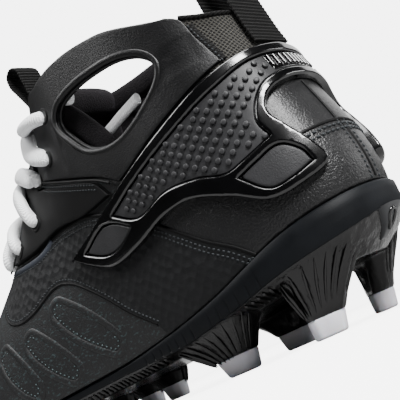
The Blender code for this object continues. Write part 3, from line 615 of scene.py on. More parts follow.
def piece_in_metres(name, form, materials, nodes=(), sharp=SHARP_ANGLE):
    """Finished piece from a form in metres, riding on the shoe in place of its nodes."""
    mesh = mesh_from(name, form)
    mesh.shade_smooth()
    mesh.set_sharp_from_angle(angle=sharp)
    for material in materials:
        mesh.materials.append(material)
    piece = new_object(name, mesh)
    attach(piece, "root")
    if nodes:
        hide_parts(*nodes)
    return piece


def apply_modifiers(piece):
    """Makes a piece's modifiers part of its mesh."""
    bpy.context.view_layer.update()
    ready = piece.evaluated_get(bpy.context.evaluated_depsgraph_get())
    mesh = bpy.data.meshes.new_from_object(ready)
    old = piece.data
    piece.modifiers.clear()
    piece.data = mesh
    bpy.data.meshes.remove(old)


def flat_form(edges):
    """Flat sheet cut to an outer edge and its holes."""
    form = bmesh.new()
    rims = []
    for edge in edges:
        verts = [form.verts.new((a, up, 0.0)) for a, up in edge]
        rims += [form.edges.new((verts[i - 1], vert)) for i, vert in enumerate(verts)]
    bmesh.ops.triangle_fill(form, use_beauty=True, use_dissolve=True, edges=rims, normal=(0.0, 0.0, 1.0))
    return form


def slice_form(form, pitch):
    """Cuts a flat form across at every pitch, so that it can bend."""
    for axis in (0, 1):
        places = [vert.co[axis] for vert in form.verts]
        normal = [float(axis == k) for k in range(3)]
        for step in range(math.ceil(min(places) / pitch), math.floor(max(places) / pitch) + 1):
            everything = form.verts[:] + form.edges[:] + form.faces[:]
            place = [step * pitch * share for share in normal]
            bmesh.ops.bisect_plane(form, geom=everything, dist=0.0001, plane_co=place, plane_no=normal)


def rounded_slab(edges, low, high, rounding, pitch=SLICE, relief=None):
    """Slab cut to a pattern, with a rounded upper rim, bent round the last between two lifts."""
    form = flat_form(edges)
    for vert in form.verts:
        vert.co.z = low
    grown = bmesh.ops.extrude_face_region(form, geom=form.faces[:])["geom"]
    top = [item for item in grown if isinstance(item, bmesh.types.BMFace)]

    def raise_top(height):
        verts = list({vert for face in top for vert in face.verts})
        bmesh.ops.translate(form, verts=verts, vec=(0.0, 0.0, height))

    raise_top(high - low - rounding)
    for step in range(ROUND_STEPS):
        first, then = (0.5 * math.pi * (step + k) / ROUND_STEPS for k in (0, 1))
        inset = rounding * (math.cos(first) - math.cos(then))
        bmesh.ops.inset_region(form, faces=top, thickness=inset, use_even_offset=False, use_boundary=True)
        raise_top(rounding * (math.sin(then) - math.sin(first)))
    slice_form(form, pitch)
    flat = places_of(form)
    chart(form, around=np.abs(flat[:, 0]), up=flat[:, 1])
    lift = flat[:, 2] + (relief(flat) if relief else 0.0)
    move_to(form, on_pattern(flat[:, :2], lift))
    return facing_out(form)


def smooth_path(points, step, closed=False):
    """Evenly spaced points along a smooth curve through points."""
    points = np.asarray(points, dtype=float)
    if closed:
        points = np.concatenate((points[-2:], points, points[:2]))
    lengths = lengths_along(points)
    slopes = np.gradient(points, lengths, axis=0)
    first, last = (lengths[2], lengths[-2]) if closed else (0.0, lengths[-1])
    goals = np.linspace(first, last, max(2, int(round((last - first) / step))) + 1)
    k = np.clip(np.searchsorted(lengths, goals, side="right") - 1, 0, len(points) - 2)
    span = (lengths[k + 1] - lengths[k])[:, None]
    u = ((goals - lengths[k]) / span[:, 0])[:, None]
    return between(u, points[k], slopes[k] * span, points[k + 1], slopes[k + 1] * span)


def swept(points, ups, half, squareness=2.0, sections=14, fullness=1.0, closed=False):
    """Tube of rounded section along points: half its width, and half its height the way of ups."""
    points = np.asarray(points, dtype=float)
    ups = np.broadcast_to(np.asarray(ups, dtype=float), points.shape)
    if closed:
        ahead = np.roll(points, -1, axis=0) - np.roll(points, 1, axis=0)
        points, ahead, ups = (np.concatenate((rows, rows[:1])) for rows in (points, ahead, ups))
    else:
        ahead = np.gradient(points, axis=0)
    ahead = ahead / np.linalg.norm(ahead, axis=1, keepdims=True)
    side = np.cross(ahead, ups)
    side /= np.linalg.norm(side, axis=1, keepdims=True)
    above = np.cross(side, ahead)
    lengths = lengths_along(points)
    wide, high = (np.broadcast_to(size * fullness, len(points)) for size in half)

    def place(u, w):
        k = np.rint(u * (len(points) - 1)).astype(int)
        angle = 2.0 * math.pi * w
        across = np.sign(np.cos(angle)) * np.abs(np.cos(angle)) ** (2.0 / squareness)
        over = np.sign(np.sin(angle)) * np.abs(np.sin(angle)) ** (2.0 / squareness)
        rows = points[k] + side[k] * (wide[k] * across)[:, None] + above[k] * (high[k] * over)[:, None]
        return rows, {"along": lengths[k], "across": across * wide[k]}

    form = grid_form(len(points) - 1, sections, place)
    if not closed:
        ends = [edge for edge in form.edges if edge.is_boundary]
        bmesh.ops.holes_fill(form, edges=ends, sides=0)
    return facing_out(form)


def rounded_ends(path, radius):
    """Shares of the full section along a path that closes in a round cap at both ends."""
    lengths = lengths_along(path)
    inside = np.clip(np.minimum(lengths, lengths[-1] - lengths) / radius, 0.0, 1.0)
    return np.sqrt(np.clip(1.0 - (1.0 - inside) ** 2, 0.01, 1.0))


SEAM_STEP = 1.0
SEAM_SECTIONS = 10


def seam_cord(edge, lift, half, closed=False):
    """Cord of two half sizes, laid along a pattern edge."""
    edge = smooth_path(np.asarray(edge, dtype=float), SEAM_STEP, closed)
    if closed:
        edge = edge[:-1]
    stations, shares = pattern_place(edge)
    return swept(skin(stations, shares, lift), last_normal(stations, shares), half,
                 sections=SEAM_SECTIONS, closed=closed)


# Stitches and dots: the pitch of a row, then the length and half the thickness of each bead
STITCH = (1.9, 1.35, 0.40)
HEEL_STITCH = (2.4, 1.8, 0.6)
DOT = (2.2, 0.8, 0.36)


def stitches(edge, lift, bead=STITCH):
    """Row of stitches along a pattern edge, each a small bead sunk at both ends."""
    pitch, length, half = bead
    edge = smooth_path(np.asarray(edge, dtype=float), pitch)
    stations, shares = pattern_place(edge)
    points = skin(stations, shares, lift)
    normals = last_normal(stations, shares)
    ahead = np.gradient(points, axis=0)
    ahead /= np.linalg.norm(ahead, axis=1, keepdims=True)
    form = bmesh.new()
    for point, normal, way in zip(points, normals, ahead):
        aside = np.cross(normal, way)
        turn = Matrix(np.stack((way * 0.5 * length, aside * half, normal * half, point), axis=1).tolist())
        turn.resize_4x4()
        bmesh.ops.create_uvsphere(form, u_segments=6, v_segments=4, radius=1.0, matrix=turn)
    return facing_out(form)


def beside(edge, offset):
    """Pattern edge moved to its left by an offset."""
    edge = np.asarray(edge, dtype=float)
    return edge + edge_normals(edge) * offset


def inside_edge(flat, edge):
    """Whether pattern points lie inside a closed edge."""
    a, up = flat[:, 0][:, None], flat[:, 1][:, None]
    one, two = edge, np.roll(edge, -1, axis=0)
    spans = (one[:, 1] > up) != (two[:, 1] > up)
    rise = np.where(two[:, 1] == one[:, 1], 1e-9, two[:, 1] - one[:, 1])
    reach = one[:, 0] + (up - one[:, 1]) / rise * (two[:, 0] - one[:, 0])
    return np.sum(spans & (a < reach), axis=1) % 2 == 1


# Finishes

def new_finish(name, color, roughness, **levels):
    """Principled material, with its tree and its shader."""
    material = bpy.data.materials.new(name)
    material.use_nodes = True
    shader = material.node_tree.nodes["Principled BSDF"]
    shader.inputs["Base Color"].default_value = (*color, 1.0)
    shader.inputs["Roughness"].default_value = roughness
    for socket, value in levels.items():
        shader.inputs[socket.replace("_", " ")].default_value = value
    return material, material.node_tree, shader


def add_node(tree, kind, values=None, links=None, **settings):
    """Node with its settings, and its sockets given values or sources."""
    node = tree.nodes.new(kind)
    for name, value in settings.items():
        setattr(node, name, value)
    for socket, value in (values or {}).items():
        node.inputs[socket].default_value = value
    for socket, source in (links or {}).items():
        tree.links.new(source, node.inputs[socket])
    return node


def math_node(tree, operation, one, two=None, three=None, clamp=False):
    """Output of a Math node whose inputs are numbers or sockets."""
    node = tree.nodes.new("ShaderNodeMath")
    node.operation = operation
    node.use_clamp = clamp
    for socket, value in zip(node.inputs, (one, two, three)):
        if isinstance(value, bpy.types.NodeSocket):
            tree.links.new(value, socket)
        elif value is not None:
            socket.default_value = value
    return node.outputs[0]


def attribute(tree, name):
    """Named value that is stored on the vertices."""
    return add_node(tree, "ShaderNodeAttribute", attribute_name=name).outputs["Fac"]


def ramp(tree, source, stops):
    """Colour ramp from stops of a place and a colour."""
    node = add_node(tree, "ShaderNodeValToRGB", links={"Fac": source})
    band = node.color_ramp.elements
    while len(band) < len(stops):
        band.new(0.5)
    for element, (place, color) in zip(band, stops):
        element.position = place
        element.color = (*color, 1.0) if isinstance(color, tuple) else (color, color, color, 1.0)
    return node.outputs["Color"]


def grain_group():
    """Grain of a surface: fine height, and slow drift of its tone, at a scale per metre."""
    group = bpy.data.node_groups.new("Surface grain", "ShaderNodeTree")
    for name, value in (("Fine Scale", 900.0), ("Slow Scale", 40.0)):
        socket = group.interface.new_socket(name, in_out="INPUT", socket_type="NodeSocketFloat")
        socket.default_value = value
    for name in ("Height", "Drift"):
        group.interface.new_socket(name, in_out="OUTPUT", socket_type="NodeSocketFloat")
    given = group.nodes.new("NodeGroupInput")
    result = group.nodes.new("NodeGroupOutput")
    place = group.nodes.new("ShaderNodeTexCoord").outputs["Object"]
    for scale, height, detail in (("Fine Scale", "Height", 4.0), ("Slow Scale", "Drift", 3.0)):
        noise = add_node(group, "ShaderNodeTexNoise", {"Detail": detail, "Roughness": 0.55},
                         {"Vector": place, "Scale": given.outputs[scale]})
        group.links.new(noise.outputs["Fac"], result.inputs[height])
    return group


GRAIN = grain_group()


def object_place(tree):
    """Place on the piece, in metres."""
    return add_node(tree, "ShaderNodeTexCoord").outputs["Object"]


def mapped(tree, source, turn, scale):
    """Vector turned and scaled."""
    node = add_node(tree, "ShaderNodeMapping", {"Rotation": turn, "Scale": scale}, {"Vector": source})
    return node.outputs["Vector"]


def noise(tree, place, scale, detail):
    """Soft noise between 0 and 1."""
    node = add_node(tree, "ShaderNodeTexNoise", {"Scale": scale, "Detail": detail}, {"Vector": place})
    return node.outputs["Fac"]


def ranged(tree, source, first, last, low=0.0, high=1.0):
    """Value that runs from low to high while its source runs from first to last."""
    limits = {"From Min": first, "From Max": last, "To Min": low, "To Max": high}
    return add_node(tree, "ShaderNodeMapRange", limits, {"Value": source}).outputs["Result"]


def grain(tree, fine, slow):
    """Height and drift of the shared grain at two scales."""
    node = add_node(tree, "ShaderNodeGroup", node_tree=GRAIN)
    node.inputs["Fine Scale"].default_value = fine
    node.inputs["Slow Scale"].default_value = slow
    return node.outputs["Height"], node.outputs["Drift"]


def bump(tree, shader, height, depth, strength=1.0):
    """Raises a surface by a height, of a depth in millimetres."""
    node = add_node(tree, "ShaderNodeBump", {"Strength": strength, "Distance": depth * MM},
                    {"Height": height})
    if shader.inputs["Normal"].is_linked:
        tree.links.new(shader.inputs["Normal"].links[0].from_socket, node.inputs["Normal"])
    tree.links.new(node.outputs["Normal"], shader.inputs["Normal"])


DRIFT_SPAN = (0.3, 0.7)


def vary(tree, shader, drift, dark, light, rough_low, rough_high):
    """Lets colour and roughness drift between two values."""
    tree.links.new(ramp(tree, drift, tuple(zip(DRIFT_SPAN, (dark, light)))), shader.inputs["Base Color"])
    tree.links.new(ranged(tree, drift, *DRIFT_SPAN, rough_low, rough_high), shader.inputs["Roughness"])


def pattern_vector(tree, turn, scale):
    """Pattern coordinates of a surface in millimetres, turned and scaled."""
    flat = add_node(tree, "ShaderNodeCombineXYZ",
                    links={"X": attribute(tree, "around"), "Y": attribute(tree, "up")})
    return mapped(tree, flat.outputs["Vector"], (0.0, 0.0, turn), (scale, scale, scale))


# Upper: where the flecked vamp starts round the last, and the heights between which the heel's pebbles
# coarsen. The flecks are short dashes, and the last row gives the sockets of a colour mix.
VAMP_START = (92.0, 104.0)
PEBBLE_HEIGHTS = (66.5, 64.0)
PEBBLE_SCALE = 1300.0
PEBBLE_DEPTH = 0.27
FLECK_COLOR = (0.019, 0.030, 0.032, 1.0)
FLECK_TURN = (0.0, 0.6, 0.0)
FLECK_SCALE = (480.0, 1250.0, 1250.0)
FLECK_STOPS = ((0.58, 0.0), (0.66, 1.0))
MIX_SHARE, MIX_FIRST, MIX_SECOND, MIX_RESULT = 0, 6, 7, 2


def upper_finish():
    """Grained synthetic of the heel, coarser low down, running into the flecked film of the vamp."""
    material, tree, shader = new_finish("Heel and vamp synthetic", (0.005, 0.005, 0.0055), 0.46,
                                        Coat_Weight=0.08, Coat_Roughness=0.3, Specular_IOR_Level=0.34)
    height, drift = grain(tree, 950.0, 45.0)
    place = object_place(tree)
    vamp = ranged(tree, attribute(tree, "around"), *VAMP_START)
    low = ranged(tree, attribute(tree, "up"), *PEBBLE_HEIGHTS)
    fleck = noise(tree, mapped(tree, place, FLECK_TURN, FLECK_SCALE), 1.0, 2.0)
    printed = math_node(tree, "MULTIPLY", ramp(tree, fleck, FLECK_STOPS), vamp)
    base = ramp(tree, drift, ((0.3, (0.003, 0.003, 0.0034)), (0.7, (0.0055, 0.0055, 0.006))))
    color = add_node(tree, "ShaderNodeMix", {MIX_SECOND: FLECK_COLOR},
                     {MIX_SHARE: printed, MIX_FIRST: base}, data_type="RGBA")
    tree.links.new(color.outputs[MIX_RESULT], shader.inputs["Base Color"])
    rough = math_node(tree, "MULTIPLY_ADD", vamp, 0.16, 0.40)
    tree.links.new(rough, shader.inputs["Roughness"])
    bump(tree, shader, height, 0.08)
    coarse = math_node(tree, "MULTIPLY_ADD", low, 0.35, 0.65)
    faded = math_node(tree, "MULTIPLY_ADD", vamp, -0.45, coarse)
    pebble = noise(tree, place, PEBBLE_SCALE, 1.0)
    bump(tree, shader, math_node(tree, "MULTIPLY", pebble, faded), PEBBLE_DEPTH)
    return material


SCALE_TURN = (0.5, 0.7, 0.3)
SCALE_DEPTH = 0.65


def quarter_finish():
    """Coated textile embossed with small scales, and with a fine weave."""
    material, tree, shader = new_finish("Quarter textile", (0.006, 0.0063, 0.007), 0.62, Sheen_Weight=0.01,
                                        Sheen_Roughness=0.5, Specular_IOR_Level=0.20)
    height, drift = grain(tree, 1900.0, 55.0)
    vary(tree, shader, drift, (0.003, 0.0032, 0.0037), (0.0048, 0.0051, 0.0059), 0.54, 0.68)
    place = mapped(tree, object_place(tree), SCALE_TURN, (1.0, 1.0, 1.0))
    scales = add_node(tree, "ShaderNodeTexVoronoi", {"Scale": 270.0, "Randomness": 0.5, "Smoothness": 0.3},
                      {"Vector": place}, feature="SMOOTH_F1")
    bump(tree, shader, scales.outputs["Distance"], SCALE_DEPTH)
    bump(tree, shader, height, 0.12)
    return material


def toned(color):
    """The darker and the lighter shade that a colour drifts between."""
    return [tuple(share * value for value in color) for share in (0.8, 1.3)]


def surface(name, colors, rough, scales, depth, **levels):
    """Finish that drifts between two colours and two roughnesses, with a grain of a depth."""
    material, tree, shader = new_finish(name, colors[0], rough[0], **levels)
    height, drift = grain(tree, *scales)
    vary(tree, shader, drift, *colors, *rough)
    bump(tree, shader, height, depth)
    return material


def film_finish(name, color, rough, fine_depth, shine=0.24):
    """Moulded matt film with a fine grain."""
    return surface(name, toned(color), (rough - 0.05, rough + 0.06), (1500.0, 35.0), fine_depth,
                   Coat_Weight=0.04, Coat_Roughness=0.3, Specular_IOR_Level=shine)


KNIT_PITCH = 1.3


def knit_finish():
    """Open knit: olive-grey yarn round staggered holes painted near black, partly the dark upper beneath them
    and partly painted shade in them.
    """
    material, tree, shader = new_finish("Collar knit", (0.05, 0.048, 0.04), 0.85, Sheen_Weight=0.1,
                                        Specular_IOR_Level=0.2)
    flat = add_node(tree, "ShaderNodeSeparateXYZ",
                    links={"Vector": pattern_vector(tree, 0.5, math.pi / KNIT_PITCH)})
    wide = math_node(tree, "SINE", flat.outputs["X"])
    tall = math_node(tree, "SINE", flat.outputs["Y"])
    mesh = math_node(tree, "ABSOLUTE", math_node(tree, "MULTIPLY", wide, tall))
    # The holes are painted near black: partly the dark upper seen through them, partly painted shade in their
    # depth.
    color = ramp(tree, mesh, ((0.35, (0.030, 0.028, 0.023)), (0.65, (0.002, 0.002, 0.002))))
    tree.links.new(color, shader.inputs["Base Color"])
    bump(tree, shader, math_node(tree, "SUBTRACT", 1.0, mesh), 0.5)
    return material


DRAW_SCALE = (420.0, 420.0, 24.0)
DRAW_DEPTH = 0.9


def plate_finish():
    """Polished plate with fine draw marks running down to the studs."""
    material, tree, shader = new_finish("Plate gloss", (0.003, 0.0026, 0.0026), 0.16, Coat_Weight=0.32,
                                        Coat_Roughness=0.08, Specular_IOR_Level=0.3)
    _, drift = grain(tree, 500.0, 50.0)
    vary(tree, shader, drift, (0.001, 0.0009, 0.0009), (0.0028, 0.0024, 0.0024), 0.10, 0.24)
    place = mapped(tree, object_place(tree), (0.0, 0.0, 0.0), DRAW_SCALE)
    bump(tree, shader, noise(tree, place, 1.0, 3.0), DRAW_DEPTH)
    return material


def woven_finish(name, dark, light, rough, pitch, depth):
    """Woven tape: ribs across it and threads along it, darkened in the grooves between them as painted shade.
    """
    material, tree, shader = new_finish(name, light, rough, Sheen_Weight=0.01, Specular_IOR_Level=0.12)
    along = math_node(tree, "MULTIPLY", attribute(tree, "along"), 2.0 * math.pi / pitch)
    across = math_node(tree, "MULTIPLY", attribute(tree, "across"), 2.0 * math.pi / (0.55 * pitch))
    rib = math_node(tree, "MULTIPLY_ADD", math_node(tree, "SINE", along), 0.5, 0.5)
    twill = math_node(tree, "SINE", math_node(tree, "ADD", across, along))
    thread = math_node(tree, "MULTIPLY_ADD", twill, 0.5, 0.5)
    weave = math_node(tree, "MULTIPLY_ADD", thread, 0.45, math_node(tree, "MULTIPLY", rib, 0.55))
    height, _ = grain(tree, 3000.0, 90.0)
    weave = math_node(tree, "MULTIPLY_ADD", height, 0.25, weave)
    # Painted shade: the colour runs from the first colour in the grooves of the weave to the yarn's own
    # colour on its ribs.
    tree.links.new(ramp(tree, weave, ((0.2, dark), (0.9, light))), shader.inputs["Base Color"])
    bump(tree, shader, weave, depth)
    return material


UPPER = upper_finish()
QUARTER = quarter_finish()
WING = film_finish("Moulded collar", (0.002, 0.002, 0.0023), 0.42, 0.14)
STAY = film_finish("Eyestay film", (0.0006, 0.0006, 0.0007), 0.6, 0.05, 0.12)
FOLD = film_finish("Folded edge", (0.024, 0.028, 0.038), 0.5, 0.06)
PRINT = film_finish("Printed dot", (0.040, 0.058, 0.060), 0.6, 0.02)
KNIT = knit_finish()
STRAP = surface("Strap gloss", toned((0.0009, 0.0009, 0.0011)), (0.16, 0.21), (300.0, 60.0), 0.005,
                Coat_Weight=0.3, Coat_Roughness=0.08)
GRIP = film_finish("Grip rubber", (0.017, 0.017, 0.0182), 0.48, 0.06)
INLAY = film_finish("Inlay", (0.019, 0.019, 0.0203), 0.5, 0.14)
SOCKLINER = film_finish("Sockliner", (0.014, 0.014, 0.015), 0.8, 0.15)
FOAM = surface("Band foam", ((0.0028, 0.0033, 0.0041), (0.0052, 0.006, 0.0074)), (0.42, 0.58),
               (1600.0, 60.0), 0.05, Specular_IOR_Level=0.1)
PLATE = plate_finish()
TIP = surface("Stud tip", ((0.66, 0.65, 0.71), (0.80, 0.79, 0.83)), (0.36, 0.50), (900.0, 90.0), 0.05,
              Subsurface_Weight=0.15, Subsurface_Scale=0.002)
PLUSH = surface("Plush lining", ((0.003, 0.0027, 0.003), (0.008, 0.0072, 0.008)), (0.9, 1.0),
                (1400.0, 120.0), 0.6, Sheen_Weight=0.13, Sheen_Roughness=0.45,
                Sheen_Tint=(0.30, 0.27, 0.31, 1.0), Specular_IOR_Level=0.1)
# For each woven finish the first colour is painted shade in the grooves of the weave, and the second is the
# yarn's own colour.
TAPE = woven_finish("Webbing", (0.0008, 0.0008, 0.0008), (0.0045, 0.0043, 0.004), 0.8, 1.7, 0.3)
LACE = woven_finish("Lace", (0.84, 0.85, 0.865), (0.94, 0.945, 0.95), 0.75, 1.1, 0.34)
THREAD = woven_finish("Thread", (0.011, 0.0125, 0.0135), (0.030, 0.034, 0.037), 0.45, 0.5, 0.05)
SPINE = film_finish("Spine satin", (0.028, 0.029, 0.031), 0.34, 0.02)


# Pieces

def crease_relief(rows):
    """Relief of soft folds, each from one pattern point to another with a width and a depth."""
    def relief(flat):
        total = np.zeros(len(flat))
        for a_one, up_one, a_two, up_two, width, depth in rows:
            near_a, near_up = np.abs(flat[:, 0]) - a_one, flat[:, 1] - up_one
            way_a, way_up = a_two - a_one, up_two - up_one
            share = np.clip((near_a * way_a + near_up * way_up) / (way_a ** 2 + way_up ** 2), 0.0, 1.0)
            gap = (near_a - share * way_a) ** 2 + (near_up - share * way_up) ** 2
            total += depth * np.exp(-gap / width ** 2)
        return total
    return relief


# Soft folds in the wings, and the rims round their windows: margin, lift and half sizes
WING_FOLDS = (
    (114, 126, 116, 106, 1.3, -0.45), (46, 113.5, 31, 114.5, 0.9, -0.4), (47, 111, 31, 111.5, 0.9, -0.4),
    (48, 108.6, 32, 108.6, 0.9, -0.4), (45, 116, 31, 117.5, 0.9, -0.35),
)
WINDOW_RIMS = ((-0.7, WING_LIFT + 0.35, (1.5, 1.0)), (0.5, -1.6, (0.9, 0.9)))
TOE_RIDGE = ((206.0, -3.0, 89.0), (262.0, -11.0, 57.0))
TOE_SOFTENING = ((20.0, 30), (14.0, 40), (9.0, 50))


def smooth_once(form, verts):
    """Moves vertices half way to the middle of their neighbours."""
    bmesh.ops.smooth_vert(form, verts=verts, factor=0.5, use_axis_x=True, use_axis_y=True, use_axis_z=True)


def soften(form, line, steps):
    """Smooths a form round a line, more and more towards it."""
    one, two = (np.array(point) for point in line)
    way = two - one
    for reach, turns in steps:
        places = places_of(form)
        shares = np.clip((places - one) @ way / way.dot(way), 0.0, 1.0)
        away = np.linalg.norm(places - one - shares[:, None] * way, axis=1)
        near = [vert for vert, gap in zip(form.verts, away) if gap < reach]
        for _ in range(turns):
            smooth_once(form, near)


def upper_shell():
    """Hollow wall over the last, open at collar, throat, windows and underneath, with its lining."""
    ring = np.linspace(0.0, STATIONS, UPPER_COLUMNS + 1)
    top = rim_share(ring)

    def place(u, w):
        stations = u * STATIONS
        shares = w * np.interp(stations, ring, top)
        points = last_point(stations, shares)
        signed = np.where(stations > TOE, stations - STATIONS, stations)
        lengths = np.abs(np.interp(signed, AROUND_STATION, AROUND))
        return points, {"around": lengths, "up": points[:, 2]}

    form = grid_form(UPPER_COLUMNS, UPPER_ROWS, place)
    bmesh.ops.remove_doubles(form, verts=form.verts, dist=SHEET_WELD)
    soften(form, TOE_RIDGE, TOE_SOFTENING)
    form = turned_sheet(form, (-1.0, 0.0, 0.0), (-1.0, 0.0, 0.0))
    piece = piece_from("upper_shell", form, [UPPER, PLUSH], ["upper"])
    wall = piece.modifiers.new("Wall", "SOLIDIFY")
    wall.thickness = WALL * MM
    wall.offset = -1.0
    wall.material_offset = 1
    cutters = []
    for _, edge in sides(pattern_curve(WINDOW)):
        form = rounded_slab([edge], *WINDOW_CUT, WINDOW_CUT_ROUNDING, WINDOW_CUT_SLICE)
        bmesh.ops.transform(form, matrix=TO_METRES, verts=form.verts)
        tool = new_object("Window", mesh_from("Window", form))
        cut = piece.modifiers.new("Window", "BOOLEAN")
        cut.operation = "DIFFERENCE"
        cut.object = tool
        cutters.append(tool)
    apply_modifiers(piece)
    for tool in cutters:
        bpy.data.objects.remove(tool, do_unlink=True)


def collar_overlays():
    """Wings with their windows, and the eyestays in front of them, on both sides."""
    relief = crease_relief(WING_FOLDS)
    for inner, side in enumerate(("outer", "inner")):
        wing = shrink(pattern_curve(rim_edge(*WING_RIM, inner) + list(WING_LOWER)), RIM_MARGIN)
        stay = shrink(pattern_curve(rim_edge(*EYESTAY_RIM, inner) + list(EYESTAY_LOWER)), RIM_MARGIN)
        window = pattern_curve(WINDOW)
        if inner:
            wing, stay, window = (mirror_edge(edge) for edge in (wing, stay, window))
        forms = [rounded_slab([wing, window], 0.0, WING_LIFT + OVERLAY_THICKNESS, WING_ROUNDING,
                              WING_SLICE, relief)]
        forms += [seam_cord(shrink(window, margin), lift, half, closed=True)
                  for margin, lift, half in WINDOW_RIMS]
        piece_from(f"wing_{side}_film", joined(forms), [WING], [f"wing_{side}"])
        slab = rounded_slab([stay], 0.0, STAY_TOP, STAY_ROUNDING)
        piece_from(f"eyestay_{side}_film", slab, [STAY], [f"eyestay_{side}"])


def underlays():
    """Textile quarters and the knit collar, laid on the upper."""
    quarter = pattern_curve(list(QUARTER_TOP) + bite_edge(*QUARTER_FOOT) + list(VAMP_BORDER))
    knit = pattern_curve(closed_arms(rim_edge(*KNIT_RIM, 0), KNIT_LOWER))
    pieces = [(f"quarter_{side}", edge, QUARTER) for side, edge in sides(quarter)]
    pieces.append(("collar_knit", shrink(knit, RIM_MARGIN), KNIT))
    for name, edge, material in pieces:
        slab = rounded_slab([edge], UNDERLAY_LIFT, UNDERLAY_TOP, UNDERLAY_ROUNDING)
        piece_from(name, slab, [material])


PIP_PITCH = 5.7
PIP_ROW = 2.25
PIP_RADIUS = 1.08
PIP_HEIGHT = 1.1
PIP_MARGIN = 1.5
PIP_HEIGHTS = (60.0, 100.0)
PIP_REACH = 20
PIP_SIDES = 14
PIP_FLARE = 1.06
PIP_ROUNDING = 0.32
PIP_SINK = 0.1
RIB_HALF_ZONE = 12.5
RIB_PITCH = 2.8
RIB_REACH = 4
RIB_HEIGHTS = (92.9, 97.5)
RIB_HALF = (0.85, 0.9)
RIB_BACKING_TOP = ((0, 98.6, 0), (12.6, 98.0, 1))
RIB_BACKING_BOTTOM = ((11.6, 91.3, 1), (0, 91.8, 0))
RIB_BACKING = 0.35
RIB_BACKING_ROUNDING = 0.25


def grip_pips(edge):
    """Staggered pips over the grip, clear of its rim and of the ribbed stretch at the heel."""
    flat = []
    for k, up in enumerate(np.arange(*PIP_HEIGHTS, PIP_ROW)):
        shift = 0.5 * PIP_PITCH * (k % 2)
        flat += [(a * PIP_PITCH + shift, up) for a in range(-PIP_REACH, PIP_REACH)]
    flat = np.array(flat)
    keep = inside_edge(flat, shrink(edge, PIP_MARGIN)) & (np.abs(flat[:, 0]) > RIB_HALF_ZONE + PIP_RADIUS)
    stations, shares = pattern_place(flat[keep])
    points = skin(stations, shares, GAP + GRIP_THICKNESS + 0.5 * PIP_HEIGHT - PIP_SINK)
    form = bmesh.new()
    for point, normal in zip(map(Vector, points), map(Vector, last_normal(stations, shares))):
        turn = Matrix.Translation(point) @ normal.to_track_quat("Z", "Y").to_matrix().to_4x4()
        made = bmesh.ops.create_cone(form, cap_ends=True, segments=PIP_SIDES, radius1=PIP_RADIUS * PIP_FLARE,
                                     radius2=PIP_RADIUS, depth=PIP_HEIGHT, matrix=turn)["verts"]
        rim = [edge for edge in dict.fromkeys(edge for vert in made for edge in vert.link_edges)
               if all(normal.dot(vert.co - point) > 0.0 for vert in edge.verts)]
        bmesh.ops.bevel(form, geom=rim, offset=PIP_ROUNDING, segments=2, profile=0.5, affect="EDGES",
                        material=-1)
    return form


def heel_cage():
    """Strap round the heel, its grip with pips and ribs, and its four inlays."""
    strap = pattern_curve(closed_arms(STRAP_TOP, STRAP_BOTTOM))
    grip = pattern_curve(closed_arms(GRIP_TOP, GRIP_BOTTOM))
    inlays = {}
    for place, rows in (("rear", REAR_INLAY), ("front", FRONT_INLAY)):
        for side, edge in sides(pattern_curve(rows)):
            inlays[f"inlay_{place}_{side}"] = edge
    slab = rounded_slab([strap, grip] + list(inlays.values()), GAP, GAP + STRAP_THICKNESS, STRAP_ROUNDING)
    frame_piece = piece_from("strap_frame", slab, [STRAP], ["heel_strap"])
    shading = frame_piece.modifiers.new("Shading", "WEIGHTED_NORMAL")
    shading.keep_sharp = True
    apply_modifiers(frame_piece)
    slab = rounded_slab([shrink(grip, GAP)], GAP, GAP + GRIP_THICKNESS, GRIP_ROUNDING)
    piece_from("grip_pad", joined([slab, grip_pips(grip)]), [GRIP], ["heel_grip"])
    backing = pattern_curve(closed_arms(RIB_BACKING_TOP, RIB_BACKING_BOTTOM))
    backing_top = GAP + GRIP_THICKNESS + RIB_BACKING
    ribs = [rounded_slab([backing], GAP + 0.5 * GRIP_THICKNESS, backing_top, RIB_BACKING_ROUNDING)]
    for a in np.arange(-RIB_REACH, RIB_REACH + 1) * RIB_PITCH:
        edge = [(a, up) for up in np.linspace(*RIB_HEIGHTS, 6)]
        ribs.append(seam_cord(edge, backing_top, RIB_HALF))
    piece_from("grip_ribs", joined(ribs), [STRAP])
    for name, edge in inlays.items():
        slab = rounded_slab([shrink(edge, GAP)], GAP, GAP + INLAY_THICKNESS, INLAY_ROUNDING)
        piece_from(f"{name}_pad", slab, [INLAY], [name])


BED_REACH = 7.0
BAND_COLUMNS = 1320
BAND_CORNERS = 8
NOTCH_PITCH = 5.2
NOTCH_DEPTH = 0.4
NOTCH_HALF = 0.055
NOTCH_STATIONS = (2.3, 4.6)


def midsole_band():
    """Band of the midsole as a closed ring, rounded at its edges and notched along the arch."""
    def place(u, w):
        stations = u * STATIONS
        bite = read("bite", stations) - GAP
        band = read("band", stations)
        flare = read("flare", stations)
        corners = (
            (-BED_REACH, band - 2.0), (flare - 0.3, band - 1.5), (flare, band - 0.7),
            (flare, 0.7 * band + 0.3 * bite), (flare, 0.45 * band + 0.55 * bite), (flare, bite - 0.9),
            (flare - 0.9, bite), (-BED_REACH, bite - 4.5),
        )
        steps = np.rint(w * BAND_CORNERS).astype(int) % BAND_CORNERS
        outset = np.choose(steps, [np.broadcast_to(corner[0], u.shape) for corner in corners])
        height = np.choose(steps, [np.broadcast_to(corner[1], u.shape) for corner in corners])
        signed = np.abs(np.where(stations > TOE, STATIONS - stations, stations))
        lengths = np.interp(signed, AROUND_STATION, AROUND)
        cut = np.abs((lengths / NOTCH_PITCH) % 1.0 - 0.5) < NOTCH_HALF
        notched = (signed > NOTCH_STATIONS[0]) & (signed < NOTCH_STATIONS[1])
        low_part = (steps >= 1) & (steps <= 3)
        outset = outset - NOTCH_DEPTH * (cut & notched & low_part)
        return outline(stations, outset, height), {}

    form = facing_out(grid_form(BAND_COLUMNS, BAND_CORNERS, place))
    piece_from("midsole_band", form, [FOAM], ["midsole"])


